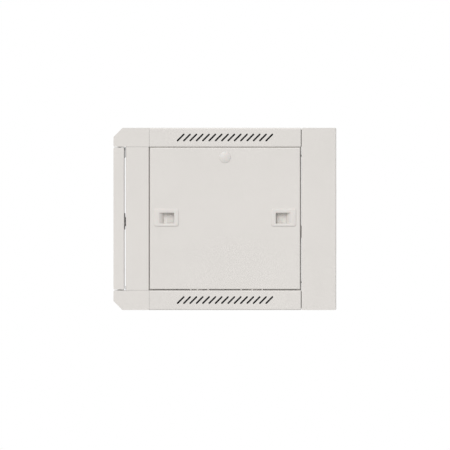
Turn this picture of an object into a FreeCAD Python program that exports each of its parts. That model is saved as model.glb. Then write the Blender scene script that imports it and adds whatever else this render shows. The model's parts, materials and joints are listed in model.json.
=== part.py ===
"""Wall mount network cabinet, 6 units high, 600 mm wide and 450 mm deep, in two sections.

The rear section bolts to the wall. The main section swings away from it on two concealed
hinges, and carries a glazed front door, two leaning side panels and the 19 inch rails.

Millimetres. +Z is up, the front faces -Y and the wall is the plane Y = 0. The origin is the
centre of the four wall bolts, on the back face.
"""

import FreeCAD, Part

import math
import os

VECTOR = FreeCAD.Vector
X_AXIS = VECTOR(1, 0, 0)
Y_AXIS = VECTOR(0, 1, 0)
Z_AXIS = VECTOR(0, 0, 1)

# ---------------------------------------------------------------- driving dimensions

width = 600.0
height = 368.0
depth = 450.0
rear_depth = 70.0
section_gap = 1.2

# sheets, their folds and seams, and how far a cutter runs past a face
sheet = 1.2
back_sheet = 1.5
rail_sheet = 1.5
plate_sheet = 3.0
bend = 2.5
hairline = 0.3
overcut = 1.0

# front: caps above and below an inset door
cap_depth = 72.3
cap_chamfer = 18.0
reveal_top = 146.1
reveal_bottom = -144.3
door_gap = 1.5
door_thickness = 22.0
frame_setback = 25.0
upright_inset = 0.4
upright_depth = 46.95
upright_flange = 47.6
upright_return = 12.0
cap_lip = 10.0

# rubber stops and hinge bushes of the door
buffer_inset = 14.0
buffer_width = 8.0
buffer_rise = 2.6
buffer_round = 1.2
buffer_levels = ((-142.5, -135.0), (124.5, 145.0))
bush_radius = 4.0
bush_length = 5.0
bush_plate_thickness = 1.0
bush_plate_x = (-298.8, -286.0)
bush_plate_y = (-442.5, -429.0)

# side bands of the covers and the opening between them
opening_top = 145.45
opening_bottom = -144.1
rebate_lip = 8.0
rebate_x = 291.2
floor_band_return = 14.0
ring_opening_x = 262.0
ring_opening_z = 150.0
ring_corner = 10.0

# fan outlets in the top, each a round of straight slots split by a middle bar
fan_x = 125.0
fan_y = -265.0
fan_radius = 52.0
fan_slot_count = 9
fan_slot_pitch = 11.0
fan_slot_width = 5.0
fan_bar = 6.0

# cable openings in the covers, and the plates that close them
entry_half_width = 125.0
entry_y = (-150.0, -95.0)
entry_overlap = 12.0
entry_screw_inset = 8.0
cable_hole_corner = 6.0
plate_screw_radius = 1.8
plate_screw_head = 3.5

# side panels
panel_front = -376.7
panel_rear = -72.3
panel_top = 144.75
panel_bottom = -142.4
panel_return = 8.0
panel_tab_height = 6.6
panel_tab_length = 20.0
panel_tab_places = (-56.0, 56.0)
tab_slot_x = (289.2, 294.0)
plug_height = 125.0
plug_profile = ((11.75, 0.0), (8.6, 1.7), (3.6, 2.9))
plug_stem_length = 4.5
plug_stem_wall = 1.5
plug_stem_slack = 0.1
plug_hole_radius = 9.5

# ventilation slots in the bands
slot_count = 15
slot_pitch = 12.8
slot_width = 3.4
slot_end_flats = 4
slot_reach = 12.6
slot_centre_top = 164.8
slot_centre_bottom = -163.9

# latches, measured from the middle of the side panel towards its edge
latch_height = 3.0
latch_inner = 93.5
latch_outer = 144.0
latch_face_height = 36.0
latch_hole_margin = 1.1
latch_wall = 1.3
latch_proud = 1.6
latch_back = 14.6
latch_face_corner = 5.0
latch_face_bevel = 1.0
latch_hole_corner = 2.0
latch_box_slack = 0.1
recess_inner = 102.9
recess_outer = 127.9
recess_height = 22.0
recess_drop = 1.5
recess_lean = 4.0
latch_skin = 2.0
latch_travel = 6.0
slider_back = 289.4
slider_front = 291.6
slider_play = 0.5
tongue_back = 286.2
tongue_half = 8.0
tongue_lap = 0.2
tongue_tip_gap = 0.6
tongue_overlap = 8.0
tongue_ramp = 2.0
grip_rib_count = 6
grip_rib_pitch = 3.1
grip_rib_width = 1.4
grip_rib_rise = 1.6
grip_rib_half = 9.5
grip_rib_bevel = 0.4
grip_rib_start = 1.2

# 19 inch equipment rails
rack_units = 6
unit_height = 44.45
unit_hole_places = (6.35, 22.225, 38.1)
rack_hole_centres = 465.1
rack_hole_side = 9.5
rack_opening = 450.0
rack_middle = 0.9
rail_face_width = 30.0
rail_leg = 34.0
rail_leg_return = 8.0
rail_height = 312.0
front_rail_face = -375.0
rear_rail_face = -125.0

# depth rails behind the slotted bands, which carry the equipment rails
depth_rail_web = 40.0
depth_rail_flange = 15.0
depth_rail_middle = 160.0
depth_rail_setback = 3.0
depth_foot_length = 24.0
depth_foot_z = (112.0, 136.0)
depth_slot_count = 5
depth_slot_pitch = 54.0
depth_slot_length = 38.0
depth_slot_width = 6.6
depth_tab = 30.0
tab_screw_x = 275.0
tab_screw_reach = 7.0
tab_screw_radius = 2.0
tab_screw_head = 4.0
rail_bolt_height = 149.0
rail_bolt_radius = 3.0
rail_bolt_head = 5.2
rail_bolt_length = 10.0
rail_nut_across = 10.0
rail_nut_thickness = 5.0

# concealed hinge between the sections, on the right
section_hinge_x = 294.2
section_hinge_setback = 11.0
hinge_arm_height = 128.0
hinge_arm_thickness = 4.0
hinge_arm_offset = 13.0
hinge_arm_width = 5.0
arm_clearance = 0.6
hinge_eye_radius = 4.2
hinge_pin_radius = 2.5
hinge_ear_gap = 0.5
hinge_pin_setback = 6.0
hinge_nose_length = 5.0
hinge_pin_head = 2.0
hinge_pin_tail = 1.5
hinge_shank_reach = 24.0
hinge_foot_width = 12.0
hinge_foot_height = 16.0
hinge_foot_screw = (8.5, 11.0)
bracket_front = -48.0
bracket_rear = -30.0
running_clearance = 0.06

# front door
door_hinge_x = -294.0
door_hinge_setback = 12.0
door_stile = 88.0
door_rail = 32.0
door_return = 12.0
glass_thickness = 4.0
glass_overlap = 11.0
gasket_thickness = 2.0
window_radius = 12.0
pane_radius = 14.0
clip_places = (-150.0, 0.0, 150.0)
clip_half_width = 9.0
clip_foot = 15.0
clip_step = 4.5
clip_finger = 6.5
clip_screw = 10.2
door_pin_radius = 2.5
door_pin_length = 24.0
door_pin_reach = 4.5
pin_collar_radius = 4.0
pin_collar_place = 4.0
pin_collar_thickness = 2.0
bracket_reach = 14.0
bracket_depth = 18.0
bracket_drop = 18.0
bracket_sheet = 2.0
bracket_edge_gap = 3.0

# cam locks
lock_radius = 9.0
lock_flange_radius = 11.5
lock_flange_thickness = 2.0
lock_length = 25.0
lock_nut_across = 22.0
lock_nut_thickness = 4.0
lock_bevel = 0.9
core_radius = 6.0
core_proud = 0.4
core_bevel = 0.5
core_square = 4.0
core_tapping = 2.0
key_slot_half = (0.7, 3.8)
key_slot_depth = 7.0
lock_flat = 1.0
cam_reach = 32.0
cam_clearance = 2.0
cam_width = 16.0
cam_thickness = 2.5
cam_screw_head = 6.0
cam_screw_length = 7.5
door_lock_x = 240.0
door_lock_z = -5.4
door_lock_dish = 3.0
dish_radius = 14.0
dish_floor_radius = 12.3
section_lock_y = -35.0
keeper_sheet = 2.0
keeper_x = (-281.0, -266.0)
keeper_z = (-34.0, -14.0)
keeper_foot_z = (-38.0, -14.0)
keeper_screw_x = -270.0
keeper_screw_levels = (-32.0, -20.0)
keeper_reach = 9.0

# rear section
rear_return = 15.0
rear_entry_half_width = 150.0
rear_entry_y = (-52.0, -16.0)
rear_entry_overlap = (10.0, 8.0)
rear_opening_corner = 4.0
rear_arm_notch = 0.8
rear_notch_reach = 6.0
back_window_corner = 10.0
back_window_x = (-170.0, 170.0)
back_window_z = (-70.0, 70.0)
back_plate_margin = 12.0
back_plate_corner = 8.0
back_panel_gap = 6.0
back_panel_sunk = 0.6
earth_stud_x = -225.0
earth_stud_radius = 3.0
earth_stud_length = 16.0
earth_washer_radius = 7.0
earth_washer_thickness = 1.4
earth_nut_across = 10.0
earth_nut_thickness = 5.0

# wall fixing
wall_hole_x = 250.0
wall_hole_z = 125.0
wall_hole_radius = 4.5

# ---------------------------------------------------------------- derived places

half_width = width / 2
half_height = height / 2
front = -depth
seam_rear = -rear_depth
seam_main = seam_rear - section_gap
cap_rear = front + cap_depth
frame_front = front + frame_setback
upright_rear = frame_front + upright_depth
upright_side = half_width - upright_inset
door_top = reveal_top - door_gap
door_bottom = reveal_bottom + door_gap
panel_middle = (panel_front + panel_rear) / 2
ring_front = seam_main - rebate_lip - sheet
panel_outside = upright_side
section_hinge_y = seam_main + section_hinge_setback
door_hinge_y = front + door_hinge_setback
depth_rail_x = rack_opening / 2 + rail_face_width
hinge_arm_x = section_hinge_x - hinge_arm_offset
recess_middle_z = latch_height - recess_drop
window_x = (-upright_side + door_stile, upright_side - door_stile)
window_z = (door_bottom + door_rail, door_top - door_rail)


# ---------------------------------------------------------------- shape helpers


def widened(limits, margin):
    """A pair of limits moved apart by a margin at each end."""
    return (limits[0] - margin, limits[1] + margin)


def block(x_range, y_range, z_range):
    """A square-edged block between two limits on each axis."""
    sizes = [limits[1] - limits[0] for limits in (x_range, y_range, z_range)]
    corner = VECTOR(x_range[0], y_range[0], z_range[0])
    return Part.makeBox(sizes[0], sizes[1], sizes[2], corner)


def rod(start, direction, radius, length):
    """A round bar from a point along a direction."""
    return Part.makeCylinder(radius, length, start, direction)


def joined(shapes):
    """One solid from several that touch or overlap."""
    result = shapes[0].multiFuse(shapes[1:])
    return result.removeSplitter()


def mirrored_x(shape):
    """The same piece on the other side of the cabinet."""
    return shape.mirror(VECTOR(0, 0, 0), X_AXIS)


def mirrored_z(shape):
    """The same piece at the other end of the height."""
    return shape.mirror(VECTOR(0, 0, 0), Z_AXIS)


def polygon_bar(start, direction, sides, radius, length, far_radius=None):
    """A many-sided bar from a point along a direction, tapered where a far radius is given."""
    loops = []
    for loop_radius, level in ((radius, 0), (far_radius or radius, length)):
        corners = []
        for step in range(sides):
            turn = 2 * math.pi * step / sides
            corners.append(VECTOR(loop_radius * math.cos(turn), loop_radius * math.sin(turn), level))
        loops.append(Part.makePolygon(corners + corners[:1]))
    bar = Part.makeLoft(loops, True, True)
    bar.Placement = FreeCAD.Placement(start, FreeCAD.Rotation(Z_AXIS, direction))
    return bar


def hexagon_bar(start, direction, across_flats, length):
    """A six-sided bar from a point along a direction."""
    return polygon_bar(start, direction, 6, across_flats / math.sqrt(3), length)


def rounded_edges(points, radii):
    """Lines along a flat path, with a tangent arc at each inner corner that has a radius."""
    edges = []
    start = points[0]
    for index in range(1, len(points) - 1):
        corner = points[index]
        radius = radii[index - 1]
        back = (points[index - 1] - corner).normalize()
        ahead = (points[index + 1] - corner).normalize()
        half_angle = back.getAngle(ahead) / 2
        reach = radius / math.tan(half_angle)
        bisector = (back + ahead).normalize()
        arc_start = corner + back * reach
        arc_end = corner + ahead * reach
        arc_middle = corner + bisector * (radius / math.sin(half_angle) - radius)
        edges.append(Part.LineSegment(start, arc_start).toShape())
        edges.append(Part.Arc(arc_start, arc_middle, arc_end).toShape())
        start = arc_end
    edges.append(Part.LineSegment(start, points[-1]).toShape())
    return edges


def offset_path(points, distance):
    """The path moved sideways, to its left where the distance is positive."""
    steps = [(points[i + 1] - points[i]).normalize() for i in range(len(points) - 1)]
    lefts = [VECTOR(-step.y, step.x, 0) for step in steps]
    moved = [points[0] + lefts[0] * distance]
    for index in range(1, len(points) - 1):
        before = lefts[index - 1]
        after = lefts[index]
        moved.append(points[index] + (before + after) * (distance / (1 + before.dot(after))))
    moved.append(points[-1] + lefts[-1] * distance)
    return moved


def folded_sheet(path, thickness, normal, start, length):
    """A sheet folded along a flat path and as long as given, square to that path.

    The path is the face first named and the sheet lies to its left, or to its right where the
    thickness is negative. Every fold has the same outside radius.
    """
    points = [VECTOR(u, v, 0) for u, v in path]
    inner = offset_path(points, thickness)
    gauge = abs(thickness)
    face_radii = []
    inner_radii = []
    for index in range(1, len(points) - 1):
        before = points[index] - points[index - 1]
        after = points[index + 1] - points[index]
        turn = before.x * after.y - before.y * after.x
        outside = turn * thickness > 0
        face_radii.append(bend if outside else bend - gauge)
        inner_radii.append(bend - gauge if outside else bend)
    edges = rounded_edges(points, face_radii)
    edges += rounded_edges(inner, inner_radii)
    edges.append(Part.LineSegment(points[0], inner[0]).toShape())
    edges.append(Part.LineSegment(points[-1], inner[-1]).toShape())
    profile = Part.Face(Part.Wire(Part.sortEdges(edges)[0]))
    return on_plane(profile, normal, start).extrude(normal * length)


def on_plane(shape, normal, start):
    """A flat shape drawn in XY, laid in the plane square to an axis at a place along it."""
    if normal == X_AXIS:
        turn = FreeCAD.Matrix(0, 0, 1, start, 1, 0, 0, 0, 0, 1, 0, 0, 0, 0, 0, 1)
    elif normal == Y_AXIS:
        turn = FreeCAD.Matrix(1, 0, 0, 0, 0, 0, -1, start, 0, 1, 0, 0, 0, 0, 0, 1)
    else:
        turn = FreeCAD.Matrix(1, 0, 0, 0, 0, 1, 0, 0, 0, 0, 1, start, 0, 0, 0, 1)
    laid = shape.copy()
    laid.Placement = FreeCAD.Placement(turn)
    return laid


def edges_along(solid, direction):
    """The straight edges of a solid that run along an axis."""
    found = []
    for edge in solid.Edges:
        run = edge.Vertexes[1].Point - edge.Vertexes[0].Point
        if abs(run.dot(direction)) > 0.99 * run.Length:
            found.append(edge)
    return found


def rounded_window(x_range, y_range, z_range, radius, direction):
    """A block whose four edges along one axis are rounded, for cutting a window."""
    solid = block(x_range, y_range, z_range)
    return solid.makeFillet(radius, edges_along(solid, direction))


def folded_block(x_range, y_range, z_range, radius, seams):
    """A block with a radius on every edge but the four corner seams along one axis."""
    solid = block(x_range, y_range, z_range)
    folds = []
    for axis in (X_AXIS, Y_AXIS, Z_AXIS):
        if axis != seams:
            folds += edges_along(solid, axis)
    return solid.makeFillet(radius, folds)


def folded_case(x_range, y_range, z_range, gauge, seams):
    """A closed case of folded sheet with square welded seams, to be opened by cutting."""
    outer = folded_block(x_range, y_range, z_range, bend, seams)
    inner_ranges = [widened(limits, -gauge) for limits in (x_range, y_range, z_range)]
    return outer.cut(folded_block(*inner_ranges, bend - gauge, seams))


def slot(centre, reach_u, reach_v, slot_size, normal, start, length):
    """A slot cutter, square to an axis, with its round ends drawn as a few short flats.

    The two end centres lie reach_u apart one way and reach_v apart the other.
    """
    middle = VECTOR(centre[0], centre[1], 0)
    half = VECTOR(reach_u / 2, reach_v / 2, 0)
    bearing = math.atan2(reach_v, reach_u)
    corners = []
    for end_centre, first_turn in ((middle + half, -math.pi / 2), (middle - half, math.pi / 2)):
        for step in range(slot_end_flats + 1):
            turn = bearing + first_turn + math.pi * step / slot_end_flats
            spoke = VECTOR(math.cos(turn), math.sin(turn), 0)
            corners.append(end_centre + spoke * (slot_size / 2))
    outline = Part.Face(Part.makePolygon(corners + corners[:1]))
    return on_plane(outline, normal, start).extrude(normal * length)


def cut_all(shape, cutters):
    """A shape less several cutters."""
    return shape.cut(Part.makeCompound(cutters))


def screw(point, direction, head_radius, shank_radius, shank_length):
    """A screw with its head's underside at a point and its shank along a direction.

    Both are many-sided rather than round, which keeps the repeated screws light.
    """
    head_height = 0.55 * head_radius
    crown = point - direction * head_height
    head = polygon_bar(crown, direction, 10, 0.72 * head_radius, head_height, head_radius)
    return joined([head, polygon_bar(point, direction, 8, shank_radius, shank_length)])


# ---------------------------------------------------------------- front caps


def front_cap(upper):
    """A chamfered cap across the front, with closed ends and a lip behind the door."""
    reveal = reveal_top if upper else -reveal_bottom
    outline = [
        (cap_rear, reveal),
        (front, reveal),
        (front, half_height - cap_chamfer),
        (front + cap_chamfer, half_height),
        (cap_rear, half_height),
    ]
    skin = folded_sheet(
        [(frame_front, reveal - cap_lip), (frame_front, reveal)] + outline[1:],
        -sheet, X_AXIS, -half_width, width,
    )
    end_points = [VECTOR(u, v, 0) for u, v in outline]
    end_edges = rounded_edges(end_points, [bend, bend, bend])
    end_edges.append(Part.LineSegment(end_points[-1], end_points[0]).toShape())
    end_face = Part.Face(Part.Wire(end_edges))
    right_end = on_plane(end_face, X_AXIS, half_width - sheet).extrude(X_AXIS * sheet)
    left_end = on_plane(end_face, X_AXIS, -half_width).extrude(X_AXIS * sheet)
    cap = joined([skin, right_end, left_end])
    beside_lip = (reveal - cap_lip - 1, reveal - 0.01)
    lip_edge = half_width - upright_inset - upright_flange - hairline
    for side in (-1, 1):
        limits = sorted((side * lip_edge, side * (half_width + 1)))
        cap = cap.cut(block(limits, (frame_front - bend, cap_rear), beside_lip))
    bush_start = VECTOR(door_hinge_x, door_hinge_y, reveal - overcut)
    cap = cap.cut(rod(bush_start, Z_AXIS, bush_radius, 2 * bush_length))
    return cap if upper else mirrored_z(cap)


def door_hinge_bushes():
    """Bushes in the two caps that the door's pins turn in, each with a wear plate."""
    bushes = []
    for level, side in ((reveal_top, 1), (reveal_bottom, -1)):
        base = VECTOR(door_hinge_x, door_hinge_y, level)
        away = Z_AXIS * side
        plate_z = sorted((level, level - side * bush_plate_thickness))
        plate = rounded_window(bush_plate_x, bush_plate_y, plate_z, bend, Z_AXIS)
        sleeve = rod(base, away, bush_radius, bush_length)
        bore_start = base - away * (bush_plate_thickness + overcut)
        bore = rod(bore_start, away, door_pin_radius + running_clearance, 2 * bush_length)
        bushes.append(joined([plate, sleeve]).cut(bore))
    return Part.makeCompound(bushes)


# ---------------------------------------------------------------- uprights


def right_upright():
    """The front post beside the door, folded to a rebate that the side panel closes on."""
    inner = upright_side - upright_flange
    path = [
        (inner, frame_front + upright_return),
        (inner, frame_front),
        (upright_side, frame_front),
        (upright_side, upright_rear),
        (rebate_x, upright_rear),
        (rebate_x, upright_rear + rebate_lip),
    ]
    bottom = reveal_bottom + hairline
    top = reveal_top - hairline
    return folded_sheet(path, sheet, Z_AXIS, bottom, top - bottom)


def right_upright_with_lock_side():
    """The right post, with a notch in its return that the door lock's cam turns in."""
    inner = upright_side - upright_flange
    notch = block(
        (inner - overcut, inner + bend),
        (frame_front + sheet + hairline, frame_front + upright_return + overcut),
        (door_lock_z - cam_width / 2 - cam_clearance, door_lock_z + cam_reach + cam_clearance),
    )
    return right_upright().cut(notch)


def door_buffers():
    """Two rubber pads, near the ends of the right post, that the door closes on."""
    middle = upright_side - buffer_inset
    x_range = widened((middle, middle), buffer_width / 2)
    pads = []
    for z_range in buffer_levels:
        pad = block(x_range, (frame_front - buffer_rise, frame_front), z_range)
        crown = [edge for edge in pad.Edges if edge.BoundBox.YMax < frame_front - buffer_rise / 2]
        pads.append(pad.makeChamfer(buffer_round, crown))
    return Part.makeCompound(pads)


# ---------------------------------------------------------------- covers


def vent_slots(centre_z):
    """Cutters for the row of leaning slots, through both side bands at once."""
    cutters = []
    for index in range(slot_count):
        place = panel_middle + (index - (slot_count - 1) / 2) * slot_pitch
        centre = (place, centre_z)
        cutters.append(
            slot(centre, slot_reach, slot_reach, slot_width, X_AXIS, -half_width - 1, width + 2)
        )
    return cutters


def fan_outlet(centre_x):
    """Cutters for one fan outlet: straight slots whose ends follow a circle, either side of a bar."""
    cutters = []
    z_range = (half_height - 5, half_height + 5)
    for index in range(fan_slot_count):
        offset = (index - (fan_slot_count - 1) / 2) * fan_slot_pitch
        reach = math.sqrt(fan_radius**2 - offset**2)
        y_range = widened((fan_y + offset, fan_y + offset), fan_slot_width / 2)
        cutters.append(block((centre_x - reach, centre_x - fan_bar / 2), y_range, z_range))
        cutters.append(block((centre_x + fan_bar / 2, centre_x + reach), y_range, z_range))
    return cutters


def cable_entry(level):
    """Cutter for the rounded cable opening near the back of a cover."""
    x_range = (-entry_half_width, entry_half_width)
    z_range = widened((level, level), 2 * bend)
    return rounded_window(x_range, entry_y, z_range, cable_hole_corner, Z_AXIS)


def top_cover():
    """The top sheet with its slotted side bands, each folded to a rebate for the panel."""
    lip_end = opening_top - rebate_lip
    path = [
        (rebate_x, lip_end), (rebate_x, opening_top), (half_width, opening_top),
        (half_width, half_height), (-half_width, half_height), (-half_width, opening_top),
        (-rebate_x, opening_top), (-rebate_x, lip_end),
    ]
    start = cap_rear + hairline
    cover = folded_sheet(path, sheet, Y_AXIS, start, seam_main - start)
    cutters = vent_slots(slot_centre_top) + [cable_entry(half_height)]
    for side in (-1, 1):
        lip_x = sorted((side * (rebate_x - 3), side * (rebate_x + hairline)))
        lip_z = (lip_end - 1, opening_top + bend + 1)
        cutters.append(block(lip_x, (start - 1, upright_rear + rebate_lip + hairline), lip_z))
        cutters.append(block(lip_x, (ring_front - hairline, seam_main + 1), lip_z))
    for centre_x in (-fan_x, fan_x):
        cutters += fan_outlet(centre_x)
    return cut_all(cover, cutters)


def bottom_cover():
    """The bottom sheet with its slotted side bands and the slots for the panels' tabs."""
    inner = half_width - floor_band_return
    path = [
        (inner, opening_bottom), (half_width, opening_bottom), (half_width, -half_height),
        (-half_width, -half_height), (-half_width, opening_bottom), (-inner, opening_bottom),
    ]
    start = cap_rear + hairline
    cover = folded_sheet(path, -sheet, Y_AXIS, start, seam_main - start)
    cutters = vent_slots(slot_centre_bottom) + [cable_entry(-half_height)]
    half_slot = panel_tab_length / 2 + 1
    return_z = (opening_bottom - 3, opening_bottom + 1)
    for side in (-1, 1):
        slot_x = sorted((side * tab_slot_x[0], side * tab_slot_x[1]))
        for place in panel_tab_places:
            middle = panel_middle + place
            cutters.append(block(slot_x, (middle - half_slot, middle + half_slot), return_z))
        ring_x = sorted((side * (inner - 1), side * (rebate_x + hairline)))
        cutters.append(block(ring_x, (ring_front - hairline, seam_main + 1), return_z))
    return cut_all(cover, cutters)


def entry_plate(level, inward):
    """A flat plate that closes a cable opening from inside."""
    x_range = widened((-entry_half_width, entry_half_width), entry_overlap)
    y_range = widened(entry_y, entry_overlap)
    z_range = sorted((level, level + inward * sheet))
    return rounded_window(x_range, y_range, z_range, cable_hole_corner, Z_AXIS)


def entry_plate_screws():
    """Four small screws under each cable plate."""
    screws = []
    x_places = widened((-entry_half_width, entry_half_width), entry_overlap / 2)
    y_places = widened(entry_y, -entry_screw_inset)
    for level, inward in ((half_height - sheet, -1), (-half_height + sheet, 1)):
        for x_place in x_places:
            for y_place in y_places:
                point = VECTOR(x_place, y_place, level + inward * sheet)
                screws.append(
                    screw(point, Z_AXIS * -inward, plate_screw_head, plate_screw_radius, sheet)
                )
    return Part.makeCompound(screws)


# ---------------------------------------------------------------- rear frame of the main section


def rear_frame():
    """The folded ring that closes the back of the main section."""
    z_reach = half_height - sheet
    case = folded_case(
        (-rebate_x, rebate_x), (ring_front - 2 * bend, seam_main), (-z_reach, z_reach),
        sheet, Y_AXIS,
    )
    front_part = block(
        (-half_width, half_width), (ring_front - 3 * bend, ring_front), (-half_height, half_height)
    )
    opening = rounded_window(
        (-ring_opening_x, ring_opening_x), (seam_main - 5, seam_main + 1),
        (-ring_opening_z, ring_opening_z), ring_corner, Y_AXIS,
    )
    cutters = [front_part, opening]
    arm_x = widened((hinge_arm_x, hinge_arm_x), hinge_arm_width / 2 + arm_clearance)
    for level in (-hinge_arm_height, hinge_arm_height):
        arm_z = widened((level, level), hinge_arm_thickness / 2 + arm_clearance)
        cutters.append(block(arm_x, (seam_main - 3, seam_main + 1), arm_z))
    return cut_all(case, cutters)


# ---------------------------------------------------------------- rails


def depth_rail(upper):
    """The right-hand channel that carries two equipment rails.

    Its web runs down in front as a foot, because the post ends below the channel. Tabs turned
    out from the foot and from the other end of the web take the screws.
    """
    bottom = depth_rail_middle - depth_rail_web / 2
    top = depth_rail_middle + depth_rail_web / 2
    outer = depth_rail_x + depth_rail_flange
    path = [(outer, bottom), (depth_rail_x, bottom), (depth_rail_x, top), (outer, top)]
    start = frame_front + sheet
    end = seam_main - sheet
    channel_start = start + depth_rail_setback
    channel = folded_sheet(path, -rail_sheet, Y_AXIS, channel_start, end - channel_start)
    foot_y = (start, start + depth_foot_length)
    web_x = (depth_rail_x, depth_rail_x + rail_sheet)
    beside_foot = block(
        (depth_rail_x - 1, outer + 1), (channel_start - 1, foot_y[1] + rail_sheet),
        (bottom - 1, bottom + bend),
    )
    foot = block(web_x, foot_y, (depth_foot_z[0], bottom + bend))
    tab_x = (depth_rail_x, depth_rail_x + depth_tab)
    front_tab = block(tab_x, (start, start + rail_sheet), depth_foot_z)
    rear_tab = block(tab_x, (end - rail_sheet, end), (bottom + bend, top - bend))
    rail = joined([channel.cut(beside_foot), foot, front_tab, rear_tab])
    cutters = []
    first = front_rail_face + rail_leg / 2
    reach = depth_slot_length - depth_slot_width
    for index in range(depth_slot_count):
        centre = (first + index * depth_slot_pitch, rail_bolt_height)
        cutters.append(slot(centre, reach, 0, depth_slot_width, X_AXIS, depth_rail_x - 1, 4))
    rail = cut_all(rail, cutters)
    return rail if upper else mirrored_z(rail)


def mounting_rail(face_y, direction):
    """A right-hand 19 inch rail, its square-holed face at face_y and its leg behind that."""
    outer = depth_rail_x
    inner = rack_opening / 2
    leg_end = face_y + direction * rail_leg
    path = [(inner, face_y), (outer, face_y), (outer, leg_end), (outer - rail_leg_return, leg_end)]
    bottom = rack_middle - rail_height / 2
    rail = folded_sheet(path, direction * rail_sheet, Z_AXIS, bottom, rail_height)
    cutters = []
    hole_x = rack_hole_centres / 2
    half_side = rack_hole_side / 2
    lowest = rack_middle - rack_units * unit_height / 2
    for unit in range(rack_units):
        for place in unit_hole_places:
            level = lowest + unit * unit_height + place
            cutters.append(
                block(
                    (hole_x - half_side, hole_x + half_side), (face_y - 4, face_y + 4),
                    (level - half_side, level + half_side),
                )
            )
    return cut_all(rail, cutters)


def rail_fixings():
    """Bolts, and their nuts, that hold the equipment rails to the depth rails."""
    bolts = []
    nuts = []
    for face_y, direction in ((front_rail_face, 1), (rear_rail_face, -1)):
        for level in (-rail_bolt_height, rail_bolt_height):
            point = VECTOR(depth_rail_x - rail_sheet, face_y + direction * rail_leg / 2, level)
            bolt = screw(point, X_AXIS, rail_bolt_head, rail_bolt_radius, rail_bolt_length)
            seat = VECTOR(depth_rail_x + rail_sheet, point.y, level)
            nut = hexagon_bar(seat, X_AXIS, rail_nut_across, rail_nut_thickness).cut(bolt)
            bolts += [bolt, mirrored_x(bolt)]
            nuts += [nut, mirrored_x(nut)]
    return Part.makeCompound(bolts), Part.makeCompound(nuts)


def depth_rail_screws():
    """Screws driven from inside, through the depth rails' tabs into the posts and the ring."""
    screws = []
    through = sheet + rail_sheet
    foot_middle = (depth_foot_z[0] + depth_foot_z[1]) / 2
    ends = (
        (frame_front + through, -Y_AXIS, foot_middle),
        (seam_main - through, Y_AXIS, depth_rail_middle),
    )
    for start, direction, level in ends:
        for height_place in (level - tab_screw_reach, level + tab_screw_reach):
            point = VECTOR(tab_screw_x, start, height_place)
            fixing = screw(point, direction, tab_screw_head, tab_screw_radius, through)
            for piece in (fixing, mirrored_x(fixing)):
                screws += [piece, mirrored_z(piece)]
    return Part.makeCompound(screws)


# ---------------------------------------------------------------- side panels and latches


def right_panel():
    """A folded side panel with tabs below, two latch openings and a lock hole."""
    y_range = (panel_front, panel_rear)
    x_range = (panel_outside - 2 * panel_return, panel_outside)
    panel = folded_case(x_range, y_range, (panel_bottom, panel_top), sheet, X_AXIS)
    inside = block(
        (x_range[0] - 1, panel_outside - panel_return), (panel_front - 1, panel_rear + 1),
        (panel_bottom - 1, panel_top + 1),
    )
    panel = panel.cut(inside)
    tabs = []
    tab_outer = panel_outside - panel_return + sheet
    tab_z = (panel_bottom - panel_tab_height, panel_bottom + sheet)
    for place in panel_tab_places:
        middle = panel_middle + place
        tab_y = widened((middle, middle), panel_tab_length / 2)
        tabs.append(
            rounded_window((tab_outer - sheet, tab_outer), tab_y, tab_z, 2 * sheet, X_AXIS)
        )
    panel = joined([panel] + tabs)
    skin_x = (panel_outside - 2 * sheet, panel_outside + overcut)
    plug_start = VECTOR(skin_x[0], panel_middle, plug_height)
    cutters = [rod(plug_start, X_AXIS, plug_hole_radius, skin_x[1] - skin_x[0])]
    hole_z = widened((latch_height, latch_height), latch_face_height / 2 - latch_hole_margin)
    for toward in (-1, 1):
        near = panel_middle + toward * (latch_inner + latch_hole_margin)
        far = panel_middle + toward * (latch_outer - latch_hole_margin)
        cutters.append(
            rounded_window(skin_x, sorted((near, far)), hole_z, latch_hole_corner, X_AXIS)
        )
    return cut_all(panel, cutters)


def place_latch(shape, toward):
    """A latch piece drawn from the panel's middle, turned to one end of the panel."""
    if toward < 0:
        shape = shape.mirror(VECTOR(0, 0, 0), Y_AXIS)
    shape.translate(VECTOR(0, panel_middle, 0))
    return shape


def finger_opening():
    """The scooped opening of a latch, its outer end leaning away as it comes out."""
    z_range = widened((recess_middle_z, recess_middle_z), recess_height / 2)
    loops = []
    for level, outer_end in (
        (slider_front - overcut, recess_outer),
        (panel_outside + latch_proud + overcut, recess_outer + recess_lean),
    ):
        corners = [
            VECTOR(level, recess_inner, z_range[0]),
            VECTOR(level, outer_end, z_range[0]),
            VECTOR(level, outer_end, z_range[1]),
            VECTOR(level, recess_inner, z_range[1]),
        ]
        loops.append(Part.makePolygon(corners + corners[:1]))
    return Part.makeLoft(loops, True, True)


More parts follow.
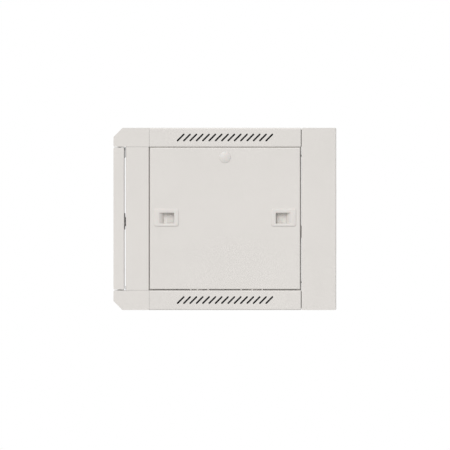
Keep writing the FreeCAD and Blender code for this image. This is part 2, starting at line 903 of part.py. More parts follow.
def latch_bezel(toward):
    """The moulded face and guide box of one slide latch, with a scooped finger opening."""
    face_x = (panel_outside, panel_outside + latch_proud)
    face_z = widened((latch_height, latch_height), latch_face_height / 2)
    face = rounded_window(face_x, (latch_inner, latch_outer), face_z, latch_face_corner, X_AXIS)
    rim = [edge for edge in face.Edges if edge.BoundBox.XMin > face_x[1] - latch_face_bevel / 2]
    face = face.makeChamfer(latch_face_bevel, rim)
    margin = latch_hole_margin + latch_box_slack
    box_y = widened((latch_inner, latch_outer), -margin)
    box_z = widened(face_z, -margin)
    back = panel_outside - latch_back
    box_x = (back, panel_outside + latch_proud / 2)
    box = rounded_window(box_x, box_y, box_z, latch_hole_corner - latch_box_slack, X_AXIS)
    hollow = block(
        (back - overcut, panel_outside - latch_skin),
        widened(box_y, -latch_wall), widened(box_z, -latch_wall),
    )
    box = box.cut(hollow)
    funnel = block(
        (slider_front + slider_play, panel_outside),
        (recess_inner - latch_wall, recess_outer + recess_lean + latch_wall),
        widened((recess_middle_z, recess_middle_z), recess_height / 2 + latch_wall),
    )
    exit_slot = block(
        (tongue_back - slider_play, slider_back + slider_play),
        (box_y[1] - latch_wall - overcut, box_y[1] + overcut),
        widened((latch_height, latch_height), tongue_half + slider_play),
    )
    body = joined([face, box, funnel]).cut(finger_opening())
    return place_latch(body.cut(exit_slot), toward)


def latch_slider(toward):
    """The sliding bolt of one latch: a ribbed grip plate with a tongue at its outer end."""
    plate = block(
        (slider_back, slider_front),
        (recess_inner - latch_travel - slider_play, recess_outer + slider_play),
        widened((recess_middle_z, recess_middle_z), recess_height / 2 + overcut),
    )
    tip = latch_outer - tongue_tip_gap
    tongue = block(
        (tongue_back, slider_back + tongue_lap), (recess_outer - tongue_overlap, tip),
        widened((latch_height, latch_height), tongue_half),
    )
    ramp_corner = [
        edge for edge in tongue.Edges
        if edge.BoundBox.YMin > tip - tongue_ramp and edge.BoundBox.XMin > slider_back
    ]
    tongue = tongue.makeChamfer(tongue_ramp, ramp_corner)
    ribs = []
    rib_crest = slider_front + grip_rib_rise
    rib_z = widened((recess_middle_z, recess_middle_z), grip_rib_half)
    for index in range(grip_rib_count):
        place = recess_inner + grip_rib_start + index * grip_rib_pitch
        rib = block((slider_back, rib_crest), (place, place + grip_rib_width), rib_z)
        crest = [
            edge for edge in rib.Edges
            if edge.BoundBox.XMin > slider_front and edge.BoundBox.ZLength > grip_rib_half
        ]
        ribs.append(rib.makeChamfer(grip_rib_bevel, crest))
    return place_latch(joined([plate, tongue] + ribs), toward)


def panel_plug():
    """The low rounded plug that closes the unused lock hole, with its hollow stem."""
    base = VECTOR(panel_outside, panel_middle, plug_height)
    stem_start = base - X_AXIS * plug_stem_length
    stem_radius = plug_hole_radius - plug_stem_slack
    stem = rod(stem_start, X_AXIS, stem_radius, plug_stem_length)
    pieces = [stem.cut(rod(stem_start, X_AXIS, stem_radius - plug_stem_wall, plug_stem_length))]
    for (radius, level), (next_radius, next_level) in zip(plug_profile, plug_profile[1:]):
        start = base + X_AXIS * level
        pieces.append(Part.makeCone(radius, next_radius, next_level - level, start, X_AXIS))
    return joined(pieces)


# ---------------------------------------------------------------- front door


def door_frame():
    """The folded door leaf with its glazed window and the dish for the lock."""
    y_range = (front, front + door_thickness)
    x_range = (-upright_side, upright_side)
    leaf = folded_case(x_range, y_range, (door_bottom, door_top), sheet, Y_AXIS)
    back = front + door_thickness
    back_y = (back - sheet - overcut, back + overcut)
    back_opening = rounded_window(
        (-upright_side + door_return, upright_side - door_return), back_y,
        (door_bottom + door_return, door_top - door_return), 2 * bend, Y_AXIS,
    )
    window_y = widened((front, front + sheet), overcut)
    window = rounded_window(window_x, window_y, window_z, window_radius, Y_AXIS)
    dish_centre = VECTOR(door_lock_x, front, door_lock_z)
    dish_depth = door_lock_dish + sheet
    dish_outer = Part.makeCone(
        dish_radius + sheet, dish_floor_radius + sheet, dish_depth, dish_centre, Y_AXIS
    )
    dish_inner = Part.makeCone(dish_radius, dish_floor_radius, door_lock_dish, dish_centre, Y_AXIS)
    leaf = cut_all(leaf, [back_opening, window])
    leaf = joined([leaf, dish_outer]).cut(dish_inner)
    cutters = [rod(dish_centre, Y_AXIS, lock_radius + running_clearance, 2 * dish_depth)]
    for level in (door_bottom, door_top - sheet):
        start = VECTOR(door_hinge_x, door_hinge_y, level - overcut)
        cutters.append(rod(start, Z_AXIS, door_pin_radius, sheet + 2 * overcut))
    return cut_all(leaf, cutters)


def door_gasket():
    """The rubber frame between the door leaf and the glass."""
    seat = front + sheet
    y_range = (seat, seat + gasket_thickness)
    outer = rounded_window(
        widened(window_x, glass_overlap), y_range, widened(window_z, glass_overlap),
        pane_radius, Y_AXIS,
    )
    inner = rounded_window(window_x, widened(y_range, 1), window_z, window_radius, Y_AXIS)
    return outer.cut(inner)


def door_glass():
    """The toughened pane behind the window."""
    seat = front + sheet + gasket_thickness
    pane = rounded_window(
        widened(window_x, glass_overlap), (seat, seat + glass_thickness),
        widened(window_z, glass_overlap), pane_radius, Y_AXIS,
    )
    return pane


def door_glass_clips():
    """Six stepped clips, and their screws, that hold the pane to the leaf."""
    clips = []
    screws = []
    pane_back = front + sheet + gasket_thickness + glass_thickness
    pane_edge = window_z[1] + glass_overlap
    for place in clip_places:
        clip = glass_clip(place, pane_back, pane_edge)
        point = VECTOR(place, front + sheet + rail_sheet, pane_edge + clip_screw)
        fixing = screw(point, -Y_AXIS, plate_screw_head, plate_screw_radius, rail_sheet)
        for piece, group in ((clip.cut(fixing), clips), (fixing, screws)):
            group.append(piece)
            lower = mirrored_z(piece)
            lower.translate(VECTOR(0, 0, window_z[0] + window_z[1]))
            group.append(lower)
    return Part.makeCompound(clips), Part.makeCompound(screws)


def glass_clip(place, pane_back, pane_edge):
    """One clip: a foot on the leaf, a step past the pane's edge and a finger on the pane."""
    x_range = widened((place, place), clip_half_width)
    seat = front + sheet
    step_z = (pane_edge + clip_step - rail_sheet, pane_edge + clip_step)
    foot = block(x_range, (seat, seat + rail_sheet), (step_z[0], pane_edge + clip_foot))
    step = block(x_range, (seat, pane_back + rail_sheet), step_z)
    finger = block(x_range, (pane_back, pane_back + rail_sheet), (pane_edge - clip_finger, step_z[1]))
    return joined([foot, step, finger])


def door_hinge_pins():
    """The door's two pins, each with a collar below the leaf's edge."""
    pins = []
    for edge, away in ((door_top, Z_AXIS), (door_bottom, -Z_AXIS)):
        base = VECTOR(door_hinge_x, door_hinge_y, edge) - away * door_pin_length
        pin = rod(base, away, door_pin_radius, door_pin_length + door_gap + door_pin_reach)
        collar_start = base + away * pin_collar_place
        collar = rod(collar_start, away, pin_collar_radius, pin_collar_thickness)
        pins.append(joined([pin, collar]))
    return Part.makeCompound(pins)


def door_hinge_brackets():
    """Folded brackets inside the door that guide the pins' inner ends."""
    brackets = []
    y_range = (front + sheet, front + bracket_depth)
    x_range = (-upright_side + bend, door_hinge_x + bracket_reach)
    leg_x = (x_range[1] - bracket_sheet, x_range[1])
    for edge, side in ((door_top, 1), (door_bottom, -1)):
        low = edge - side * bracket_drop
        shelf = block(x_range, y_range, sorted((low, low + side * bracket_sheet)))
        leg = block(leg_x, y_range, sorted((low, edge - side * bracket_edge_gap)))
        hole_start = VECTOR(door_hinge_x, door_hinge_y, low - side * overcut)
        hole = rod(hole_start, Z_AXIS * side, door_pin_radius, bracket_sheet + 2 * overcut)
        brackets.append(joined([shelf, leg]).cut(hole))
    return Part.makeCompound(brackets)


# ---------------------------------------------------------------- cam locks


def lock_barrel():
    """A flanged barrel with two flats. The panel's face is z = 0 and the cam hangs below."""
    flange = rod(VECTOR(0, 0, 0), Z_AXIS, lock_flange_radius, lock_flange_thickness)
    rim = [edge for edge in flange.Edges if edge.BoundBox.ZMin > lock_flange_thickness / 2]
    flange = flange.makeChamfer(lock_bevel, rim)
    barrel = rod(VECTOR(0, 0, -lock_length), Z_AXIS, lock_radius, lock_length)
    for side in (-1, 1):
        x_range = sorted((side * (lock_radius - lock_flat), side * (lock_radius + overcut)))
        y_range = (-lock_radius, lock_radius)
        barrel = barrel.cut(block(x_range, y_range, (-lock_length - overcut, -back_sheet)))
    bore_start = VECTOR(0, 0, -lock_length - overcut)
    bore_length = lock_length + lock_flange_thickness + 2 * overcut
    bore = rod(bore_start, Z_AXIS, core_radius + running_clearance, bore_length)
    return joined([flange, barrel]).cut(bore)


def lock_nut(skin):
    """The hexagon nut that clamps the barrel from inside a skin of the given thickness."""
    base = VECTOR(0, 0, -skin - lock_nut_thickness)
    nut = hexagon_bar(base, Z_AXIS, lock_nut_across, lock_nut_thickness)
    return nut.cut(rod(base, Z_AXIS, lock_radius, lock_nut_thickness))


def lock_core():
    """The turning core, with its key slot in front and a square seat for the cam."""
    back = -lock_length
    face = lock_flange_thickness + core_proud
    core = rod(VECTOR(0, 0, back), Z_AXIS, core_radius, face - back)
    front_edge = [edge for edge in core.Edges if edge.BoundBox.ZMin > lock_flange_thickness]
    core = core.makeChamfer(core_bevel, front_edge)
    square = (-core_square, core_square)
    seat = block(square, square, (back - cam_thickness, back))
    key_slot = block(
        (-key_slot_half[0], key_slot_half[0]), (-key_slot_half[1], key_slot_half[1]),
        (face - key_slot_depth, face + overcut),
    )
    tapping = rod(VECTOR(0, 0, back - cam_thickness), Z_AXIS, core_tapping, cam_screw_length)
    return cut_all(joined([core, seat]), [key_slot, tapping])


def lock_cam():
    """The cam, pointing along +Y, on the core's square seat."""
    level = -lock_length - cam_thickness
    half = cam_width / 2
    hub = rod(VECTOR(0, 0, level), Z_AXIS, half, cam_thickness)
    arm = block((-half, half), (0, cam_reach - half), (level, level + cam_thickness))
    tip = rod(VECTOR(0, cam_reach - half, level), Z_AXIS, half, cam_thickness)
    square = (-core_square, core_square)
    seat = block(square, square, (level - overcut, level + cam_thickness + overcut))
    return joined([hub, arm, tip]).cut(seat)


def lock_cam_screw():
    """The screw that keeps the cam on its seat."""
    point = VECTOR(0, 0, -lock_length - cam_thickness)
    return screw(point, Z_AXIS, cam_screw_head, core_tapping, cam_screw_length)


def on_door(shape):
    """A lock piece placed in the dish of the door, its cam pointing up."""
    placed = shape.copy()
    face_y = front + door_lock_dish
    turn = FreeCAD.Matrix(1, 0, 0, door_lock_x, 0, 0, -1, face_y, 0, 1, 0, door_lock_z, 0, 0, 0, 1)
    placed.Placement = FreeCAD.Placement(turn)
    return placed


def on_rear_section(shape):
    """A lock piece placed in the left wall of the rear section, its cam pointing forward."""
    placed = shape.copy()
    turn = FreeCAD.Matrix(0, 0, -1, -half_width, 0, -1, 0, section_lock_y, -1, 0, 0, 0, 0, 0, 0, 1)
    placed.Placement = FreeCAD.Placement(turn)
    return placed


def section_lock_keeper():
    """The hooked keeper on the ring, which the section lock's cam drops in front of."""
    hook_rear = section_lock_y + keeper_reach + keeper_sheet
    foot_x = (keeper_x[0], keeper_x[1] + keeper_sheet)
    foot = block(foot_x, (seam_main, seam_main + keeper_sheet), keeper_foot_z)
    arm = block((keeper_x[0], keeper_x[0] + keeper_sheet), (seam_main, hook_rear), keeper_z)
    hook = block(keeper_x, (hook_rear - keeper_sheet, hook_rear), keeper_z)
    return joined([foot, arm, hook])


# ---------------------------------------------------------------- concealed section hinge


def section_hinge_arms():
    """Two swan-neck arms that carry the main section round the rear section's corner.

    Each starts at a foot on the ring, runs back into the rear section, turns outward and ends
    in an eye beside the wall, so that the section turns about a pin near its own corner.
    """
    half = hinge_arm_width / 2
    level = hinge_arm_height - hinge_arm_thickness / 2
    z_range = (level, level + hinge_arm_thickness)
    eye_centre = VECTOR(section_hinge_x, section_hinge_y, level)
    y_back = section_hinge_y + half
    eye = rod(eye_centre, Z_AXIS, hinge_eye_radius, hinge_arm_thickness)
    neck = block((hinge_arm_x, section_hinge_x), (section_hinge_y - half, y_back), z_range)
    shank_x = widened((hinge_arm_x, hinge_arm_x), half)
    shank = block(shank_x, (seam_main - hinge_shank_reach, y_back), z_range)
    elbow = [
        edge for edge in shank.Edges
        if edge.BoundBox.ZLength > 1 and edge.BoundBox.XMax < hinge_arm_x
        and edge.BoundBox.YMin > y_back - half
    ]
    shank = shank.makeFillet(plate_sheet, elbow)
    foot = block(
        (shank_x[0] - hinge_foot_width, shank_x[1]),
        (seam_main - sheet - plate_sheet, seam_main - sheet),
        (level - hinge_foot_height, level + hinge_arm_thickness),
    )
    bore_radius = hinge_pin_radius + running_clearance
    bore = rod(eye_centre - Z_AXIS, Z_AXIS, bore_radius, 2 * hinge_arm_thickness)
    arm = joined([eye, neck, shank, foot]).cut(bore)
    return Part.makeCompound([arm, mirrored_z(arm)])


def section_hinge_brackets():
    """Two clevis brackets inside the rear section's right wall that hold the hinge pins."""
    wall = half_width - back_sheet
    inner = section_hinge_x - hinge_pin_setback
    gap = hinge_arm_thickness / 2 + hinge_ear_gap
    reach = gap + plate_sheet
    z_full = widened((hinge_arm_height, hinge_arm_height), reach)
    shelf_front = section_hinge_y + hinge_nose_length
    ears = []
    for side in (-1, 1):
        z_range = sorted((hinge_arm_height + side * gap, hinge_arm_height + side * reach))
        shelf = block((inner, wall), (shelf_front, bracket_rear), z_range)
        nose_centre = VECTOR(section_hinge_x, section_hinge_y, z_range[0])
        nose = rod(nose_centre, Z_AXIS, hinge_eye_radius, plate_sheet)
        neck_x = widened((section_hinge_x, section_hinge_x), hinge_eye_radius)
        neck = block(neck_x, (section_hinge_y, shelf_front + overcut), z_range)
        ears.append(joined([shelf, nose, neck]))
    web = block((inner, wall), (bracket_rear - plate_sheet, bracket_rear), z_full)
    flange = block((wall - plate_sheet, wall), (bracket_front, bracket_rear), z_full)
    bore_start = VECTOR(section_hinge_x, section_hinge_y, z_full[0] - overcut)
    bore = rod(bore_start, Z_AXIS, hinge_pin_radius, 2 * (reach + overcut))
    bracket = joined(ears + [web, flange]).cut(bore)
    return Part.makeCompound([bracket, mirrored_z(bracket)])


def section_hinge_pins():
    """Headed pins through the brackets and the arms' eyes."""
    reach = hinge_arm_thickness / 2 + hinge_ear_gap + plate_sheet
    length = 2 * reach + hinge_pin_tail
    top = VECTOR(section_hinge_x, section_hinge_y, hinge_arm_height + reach)
    pin = rod(top - Z_AXIS * length, Z_AXIS, hinge_pin_radius, length)
    head = rod(top, Z_AXIS, hinge_eye_radius, hinge_pin_head)
    whole = joined([pin, head])
    return Part.makeCompound([whole, mirrored_z(whole)])


# ---------------------------------------------------------------- rear section


def rear_shell():
    """The shallow wall box: back, four walls and a return round its open front."""
    shell = folded_case(
        (-half_width, half_width), (seam_rear, 0), (-half_height, half_height),
        back_sheet, Y_AXIS,
    )
    opening = rounded_window(
        (-half_width + rear_return, half_width - rear_return),
        (seam_rear - overcut, seam_rear + 2 * back_sheet),
        (-half_height + rear_return, half_height - rear_return), rear_opening_corner, Y_AXIS,
    )
    cutters = [opening]
    back_y = (-2 * back_sheet, overcut)
    for side_x in (-wall_hole_x, wall_hole_x):
        for side_z in (-wall_hole_z, wall_hole_z):
            start = VECTOR(side_x, back_y[0], side_z)
            cutters.append(rod(start, Y_AXIS, wall_hole_radius, back_y[1] - back_y[0]))
    cutters.append(rounded_window(back_window_x, back_y, back_window_z, back_window_corner, Y_AXIS))
    entry_x = (-rear_entry_half_width, rear_entry_half_width)
    for level in (-half_height, half_height):
        entry_z = widened((level, level), 2 * back_sheet)
        cutters.append(rounded_window(entry_x, rear_entry_y, entry_z, cable_hole_corner, Z_AXIS))
    notch_x = (hinge_arm_x - rear_notch_reach, half_width - back_sheet)
    notch_y = (seam_rear - overcut, seam_rear + back_sheet + overcut)
    for level in (-hinge_arm_height, hinge_arm_height):
        notch_z = widened((level, level), hinge_arm_thickness / 2 + rear_arm_notch)
        cutters.append(block(notch_x, notch_y, notch_z))
    lock_start = VECTOR(-half_width - overcut, section_lock_y, 0)
    lock_hole_radius = lock_radius + running_clearance
    cutters.append(rod(lock_start, X_AXIS, lock_hole_radius, 2 * (back_sheet + overcut)))
    return cut_all(shell, cutters)


def back_plate():
    """The plate that closes the cable window in the back, with a panel that fills the window."""
    plate = rounded_window(
        widened(back_window_x, back_plate_margin), (-back_sheet - sheet, -back_sheet),
        widened(back_window_z, back_plate_margin), back_plate_corner, Y_AXIS,
    )
    panel = rounded_window(
        widened(back_window_x, -back_panel_gap), (-back_sheet, -back_panel_sunk),
        widened(back_window_z, -back_panel_gap), back_plate_corner, Y_AXIS,
    )
    return joined([plate, panel])


def rear_entry_plates():
    """The plates that close the cable slots in the rear section's top and bottom."""
    level = half_height - back_sheet
    x_range = widened((-rear_entry_half_width, rear_entry_half_width), rear_entry_overlap[0])
    y_range = widened(rear_entry_y, rear_entry_overlap[1])
    plate = rounded_window(x_range, y_range, (level - sheet, level), cable_hole_corner, Z_AXIS)
    return Part.makeCompound([plate, mirrored_z(plate)])


def rear_plate_screws():
    """Screws that hold the rear section's plates, all driven from inside."""
    plate_x = widened(back_window_x, back_plate_margin / 2)
    entry_x = widened((-rear_entry_half_width, rear_entry_half_width), rear_entry_overlap[0] / 2)
    entry_middle = (rear_entry_y[0] + rear_entry_y[1]) / 2
    screws = []
    for x_place in plate_x:
        for z_place in widened(back_window_z, -back_plate_margin):
            point = VECTOR(x_place, -back_sheet - sheet, z_place)
            screws.append(screw(point, Y_AXIS, plate_screw_head, plate_screw_radius, sheet))
    for side in (-1, 1):
        for x_place in entry_x:
            point = VECTOR(x_place, entry_middle, side * (half_height - back_sheet - sheet))
            screws.append(screw(point, Z_AXIS * side, plate_screw_head, plate_screw_radius, sheet))
    return Part.makeCompound(screws)


def earth_stud():
    """The earthing stud on the rear section's floor, with its nut and washer."""
    base = VECTOR(earth_stud_x, section_lock_y, -half_height + back_sheet)
    stud = rod(base, Z_AXIS, earth_stud_radius, earth_stud_length)
    washer = rod(base, Z_AXIS, earth_washer_radius, earth_washer_thickness)
    nut_base = base + Z_AXIS * earth_washer_thickness
    nut = hexagon_bar(nut_base, Z_AXIS, earth_nut_across, earth_nut_thickness)
    return joined([stud, washer, nut])


def section_hinge_screws():
    """Screws that hold the hinge arms' feet and the keeper to the ring."""
    screws = []
    for side in (-1, 1):
        level = side * (hinge_arm_height - hinge_foot_screw[1])
        point_x = hinge_arm_x - hinge_foot_screw[0]
        point = VECTOR(point_x, seam_main - sheet - plate_sheet, level)
        screws.append(screw(point, Y_AXIS, tab_screw_head, tab_screw_radius, plate_sheet))
    for level in keeper_screw_levels:
        point = VECTOR(keeper_screw_x, seam_main + keeper_sheet, level)
        screws.append(screw(point, -Y_AXIS, plate_screw_head, plate_screw_radius, keeper_sheet))
    return Part.makeCompound(screws)


# ---------------------------------------------------------------- assembly


def with_screw_holes(shape, screws):
    """A piece with holes where screws pass through it."""
    return shape.cut(screws)


def build():
    """Every node of the cabinet, by name."""
    rail_bolts, rail_nuts = rail_fixings()
    frame_screws = depth_rail_screws()
    clips, clip_screws = door_glass_clips()
    hinge_screws = section_hinge_screws()
    plate_screws = rear_plate_screws()
    entry_screws = entry_plate_screws()
    panel = right_panel()
    bezels = Part.makeCompound([latch_bezel(-1), latch_bezel(1)])
    plug = panel_plug()
    nodes = {
        "front_top_cap": front_cap(True),
        "front_bottom_cap": front_cap(False),
        "front_right_upright": with_screw_holes(right_upright_with_lock_side(), frame_screws),
        "front_left_upright": with_screw_holes(mirrored_x(right_upright()), frame_screws),
        "door_hinge_bushes": door_hinge_bushes(),
        "door_buffers": door_buffers(),
        "top_cover": top_cover(),
        "bottom_cover": bottom_cover(),
        "top_cable_plate": with_screw_holes(entry_plate(half_height - sheet, -1), entry_screws),
        "bottom_cable_plate": with_screw_holes(entry_plate(-half_height + sheet, 1), entry_screws),
        "cable_plate_screws": entry_screws,
        "rear_frame": with_screw_holes(rear_frame(), frame_screws),
        "rail_bolts": rail_bolts,
        "rail_nuts": rail_nuts,
        "depth_rail_screws": frame_screws,
        "section_hinge_arms": with_screw_holes(section_hinge_arms(), hinge_screws),
        "section_hinge_screws": hinge_screws,
        "section_lock_keeper": with_screw_holes(section_lock_keeper(), hinge_screws),
        "door_frame": door_frame(),
        "door_gasket": door_gasket(),
        "door_glass": door_glass(),
        "door_glass_clips": clips,
        "door_clip_screws": clip_screws,
        "door_hinge_pins": door_hinge_pins(),
        "door_hinge_brackets": door_hinge_brackets(),
        "door_lock_barrel": on_door(lock_barrel()),
        "door_lock_nut": on_door(lock_nut(sheet)),
        "door_lock_core": on_door(lock_core()),
        "door_lock_cam": on_door(lock_cam()),
        "door_lock_cam_screw": on_door(lock_cam_screw()),
        "right_panel": panel,
        "left_panel": mirrored_x(panel),
        "right_latch_bezels": bezels,
        "left_latch_bezels": mirrored_x(bezels),
        "right_panel_plug": plug,
        "left_panel_plug": mirrored_x(plug),
        "rear_shell": rear_shell(),
        "rear_back_plate": with_screw_holes(back_plate(), plate_screws),
        "rear_entry_plates": with_screw_holes(rear_entry_plates(), plate_screws),
        "rear_plate_screws": plate_screws,
        "rear_earth_stud": earth_stud(),
        "section_hinge_brackets": section_hinge_brackets(),
        "section_hinge_pins": section_hinge_pins(),
        "section_lock_barrel": on_rear_section(lock_barrel()),
        "section_lock_nut": on_rear_section(lock_nut(back_sheet)),
        "section_lock_core": on_rear_section(lock_core()),
        "section_lock_cam": on_rear_section(lock_cam()),
        "section_lock_cam_screw": on_rear_section(lock_cam_screw()),
    }
    for level, upper in (("upper", True), ("lower", False)):
        rail = with_screw_holes(depth_rail(upper), frame_screws)
        nodes[f"{level}_right_depth_rail"] = rail
        nodes[f"{level}_left_depth_rail"] = mirrored_x(rail)
    for place, face_y, direction in (("front", front_rail_face, 1), ("rear", rear_rail_face, -1)):
        rail = with_screw_holes(mounting_rail(face_y, direction), rail_bolts)
        nodes[f"{place}_right_mounting_rail"] = rail
        nodes[f"{place}_left_mounting_rail"] = mirrored_x(rail)
    for place, toward in (("front", -1), ("rear", 1)):
        slider = latch_slider(toward)
        nodes[f"right_{place}_latch_slider"] = slider
        nodes[f"left_{place}_latch_slider"] = mirrored_x(slider)
    return nodes


os.makedirs("parts", exist_ok=True)
for node, shape in build().items():
    shape.exportStep(f"parts/{node}.step")
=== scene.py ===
"""Looks of the wall mount network cabinet: materials, small hardware, light and camera.

Everything is in metres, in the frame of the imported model: +Z up, the front faces -Y and the
wall is the plane Y = 0. Most places and sizes come from the frame's nodes, and the finer ones
are named where they are used.
"""

import json
import math

import bmesh
import bpy
from mathutils import Matrix, Vector

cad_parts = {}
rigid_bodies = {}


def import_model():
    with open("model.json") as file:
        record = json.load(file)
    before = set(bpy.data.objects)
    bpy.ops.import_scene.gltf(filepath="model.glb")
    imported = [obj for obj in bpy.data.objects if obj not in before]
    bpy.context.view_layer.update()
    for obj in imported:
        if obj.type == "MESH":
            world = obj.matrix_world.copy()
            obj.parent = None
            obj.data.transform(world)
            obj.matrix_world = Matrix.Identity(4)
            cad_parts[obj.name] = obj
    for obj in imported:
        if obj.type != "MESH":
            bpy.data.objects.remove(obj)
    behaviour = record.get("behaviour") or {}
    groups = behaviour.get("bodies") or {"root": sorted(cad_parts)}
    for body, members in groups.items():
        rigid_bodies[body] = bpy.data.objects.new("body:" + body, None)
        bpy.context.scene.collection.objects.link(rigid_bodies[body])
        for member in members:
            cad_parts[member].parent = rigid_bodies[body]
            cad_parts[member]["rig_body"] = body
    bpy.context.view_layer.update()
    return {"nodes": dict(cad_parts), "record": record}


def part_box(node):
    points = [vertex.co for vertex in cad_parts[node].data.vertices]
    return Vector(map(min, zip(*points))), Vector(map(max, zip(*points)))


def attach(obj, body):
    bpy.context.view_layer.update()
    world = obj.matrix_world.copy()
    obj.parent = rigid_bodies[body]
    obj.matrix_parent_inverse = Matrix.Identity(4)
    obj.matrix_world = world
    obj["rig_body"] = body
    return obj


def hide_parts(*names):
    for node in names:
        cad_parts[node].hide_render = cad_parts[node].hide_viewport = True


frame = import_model()

MM = 0.001

# ---------------------------------------------------------------- material helpers


def new_material(name):
    """A node material, with its node tree and its Principled shader."""
    material = bpy.data.materials.new(name)
    material.use_nodes = True
    tree = material.node_tree
    return material, tree, tree.nodes["Principled BSDF"]


def add(tree, kind, settings=None, **inputs):
    """A node with its settings made and its inputs linked or set."""
    node = tree.nodes.new(kind)
    for key, value in (settings or {}).items():
        setattr(node, key, value)
    for key, value in inputs.items():
        socket = node.inputs[key.replace("_", " ")]
        if isinstance(value, bpy.types.NodeSocket):
            tree.links.new(value, socket)
        else:
            socket.default_value = value
    return node


def object_place(tree):
    """The place on the object, in metres."""
    return add(tree, "ShaderNodeTexCoord").outputs["Object"]


def noise(tree, per_metre, detail=2.0, roughness=0.5, stretch=(1, 1, 1)):
    """A noise value of about 0.5, with so many features in a metre."""
    place = add(tree, "ShaderNodeMapping", Vector=object_place(tree), Scale=stretch)
    texture = add(
        tree, "ShaderNodeTexNoise", Vector=place.outputs["Vector"],
        Scale=per_metre, Detail=detail, Roughness=roughness,
    )
    return texture.outputs["Fac"]


def ranged(tree, value, low, high, from_low=0.3, from_high=0.7):
    """A value moved from one range, by default a noise's, to another, and kept inside it."""
    node = add(tree, "ShaderNodeMapRange")
    tree.links.new(value, node.inputs["Value"])
    for name, setting in (
        ("From Min", from_low), ("From Max", from_high), ("To Min", low), ("To Max", high),
    ):
        node.inputs[name].default_value = setting
    return node.outputs["Result"]


# Sockets of the Mix node when it mixes colours.
MIX_FACTOR, MIX_FIRST, MIX_SECOND = 0, 6, 7
MIX_RESULT = 2


def blend(tree, factor, first, second):
    """Two colours blended by a factor; a colour is a socket or three numbers."""
    node = add(tree, "ShaderNodeMix", {"data_type": "RGBA"})
    tree.links.new(factor, node.inputs[MIX_FACTOR])
    for index, value in ((MIX_FIRST, first), (MIX_SECOND, second)):
        if isinstance(value, bpy.types.NodeSocket):
            tree.links.new(value, node.inputs[index])
        else:
            node.inputs[index].default_value = (*value, 1)
    return node.outputs[MIX_RESULT]


BEVEL_SAMPLES = 6
# Cosines between the softened and the true normal, at a sharp edge and on a flat face.
EDGE_COSINE = 0.80
FLAT_COSINE = 0.995


def softened(tree, radius):
    """The normal over edges rounded to a radius."""
    return add(tree, "ShaderNodeBevel", {"samples": BEVEL_SAMPLES}, Radius=radius).outputs["Normal"]


def edge_highlight_mask(tree, radius, strength):
    """Where a painted highlight goes: as high as the strength along sharp edges and folds, 0 on
    flat faces.
    """
    dot = add(tree, "ShaderNodeVectorMath", {"operation": "DOT_PRODUCT"})
    actual = add(tree, "ShaderNodeNewGeometry").outputs["Normal"]
    tree.links.new(softened(tree, radius), dot.inputs[0])
    tree.links.new(actual, dot.inputs[1])
    return ranged(tree, dot.outputs["Value"], strength, 0, EDGE_COSINE, FLAT_COSINE)


def relief(tree, shader, height, distance, strength, edge_radius=None):
    """Bump from a height, over edges softened to a small radius where one is given."""
    bump = add(tree, "ShaderNodeBump", Strength=strength, Distance=distance, Height=height)
    if edge_radius:
        tree.links.new(softened(tree, edge_radius), bump.inputs["Normal"])
    tree.links.new(bump.outputs["Normal"], shader.inputs["Normal"])


def scaled(colour, factor):
    """A colour made darker or lighter."""
    return tuple(channel * factor for channel in colour)


# ---------------------------------------------------------------- materials

COAT = (0.735, 0.706, 0.674)
# The lighter colour painted along edges and folds as a highlight.
PAINTED_EDGE_HIGHLIGHT = (0.86, 0.85, 0.82)
NYLON = (0.74, 0.73, 0.69)
ZINC_DARK = (0.50, 0.53, 0.56)
ZINC_LIGHT = (0.66, 0.68, 0.69)
ZINC_DULL = (0.44, 0.44, 0.43)
CHROME_HAZY = (0.70, 0.71, 0.72)
CHROME_CLEAR = (0.80, 0.80, 0.80)
GLASS_BODY = (0.90, 0.945, 0.92)
GLASS_SMEARED = (0.93, 0.965, 0.945)
GLASS_IOR = 1.52
RUBBER_CLEAN = (0.014, 0.014, 0.015)
RUBBER_DUSTY = (0.034, 0.033, 0.032)
BRASS_BRIGHT = (0.78, 0.57, 0.25)
BRASS_TARNISHED = (0.56, 0.39, 0.17)

# Painted shade on the depth rails behind the vents: their zinc is darkened to this share of the
# other hardware's brightness, so the vents read dark.
RAIL_SHADE_TONE = 0.35


def set_surface(tree, shader, colour, roughness):
    """Links a shader's colour and roughness."""
    tree.links.new(colour, shader.inputs["Base Color"])
    tree.links.new(roughness, shader.inputs["Roughness"])


def powder_coat():
    """Light grey powder coat: orange peel, slight clouding, and a painted highlight along the
    edges.
    """
    material, tree, shader = new_material("powder_coat")
    clouds = ranged(tree, noise(tree, per_metre=9, detail=3), 0, 1)
    grain = ranged(tree, noise(tree, per_metre=2600), 0, 0.14)
    body = blend(tree, clouds, scaled(COAT, 0.992), scaled(COAT, 1.022))
    body = blend(tree, grain, body, scaled(COAT, 0.84))
    # Edges and folds are blended towards a lighter colour: a painted highlight.
    body = blend(tree, edge_highlight_mask(tree, 0.5 * MM, strength=0.6), body, PAINTED_EDGE_HIGHLIGHT)
    gloss = ranged(tree, noise(tree, per_metre=40, detail=4), 0.40, 0.50)
    set_surface(tree, shader, body, gloss)
    orange_peel = noise(tree, per_metre=620, detail=3, roughness=0.55)
    relief(tree, shader, orange_peel, 0.12 * MM, strength=0.8, edge_radius=0.45 * MM)
    return material


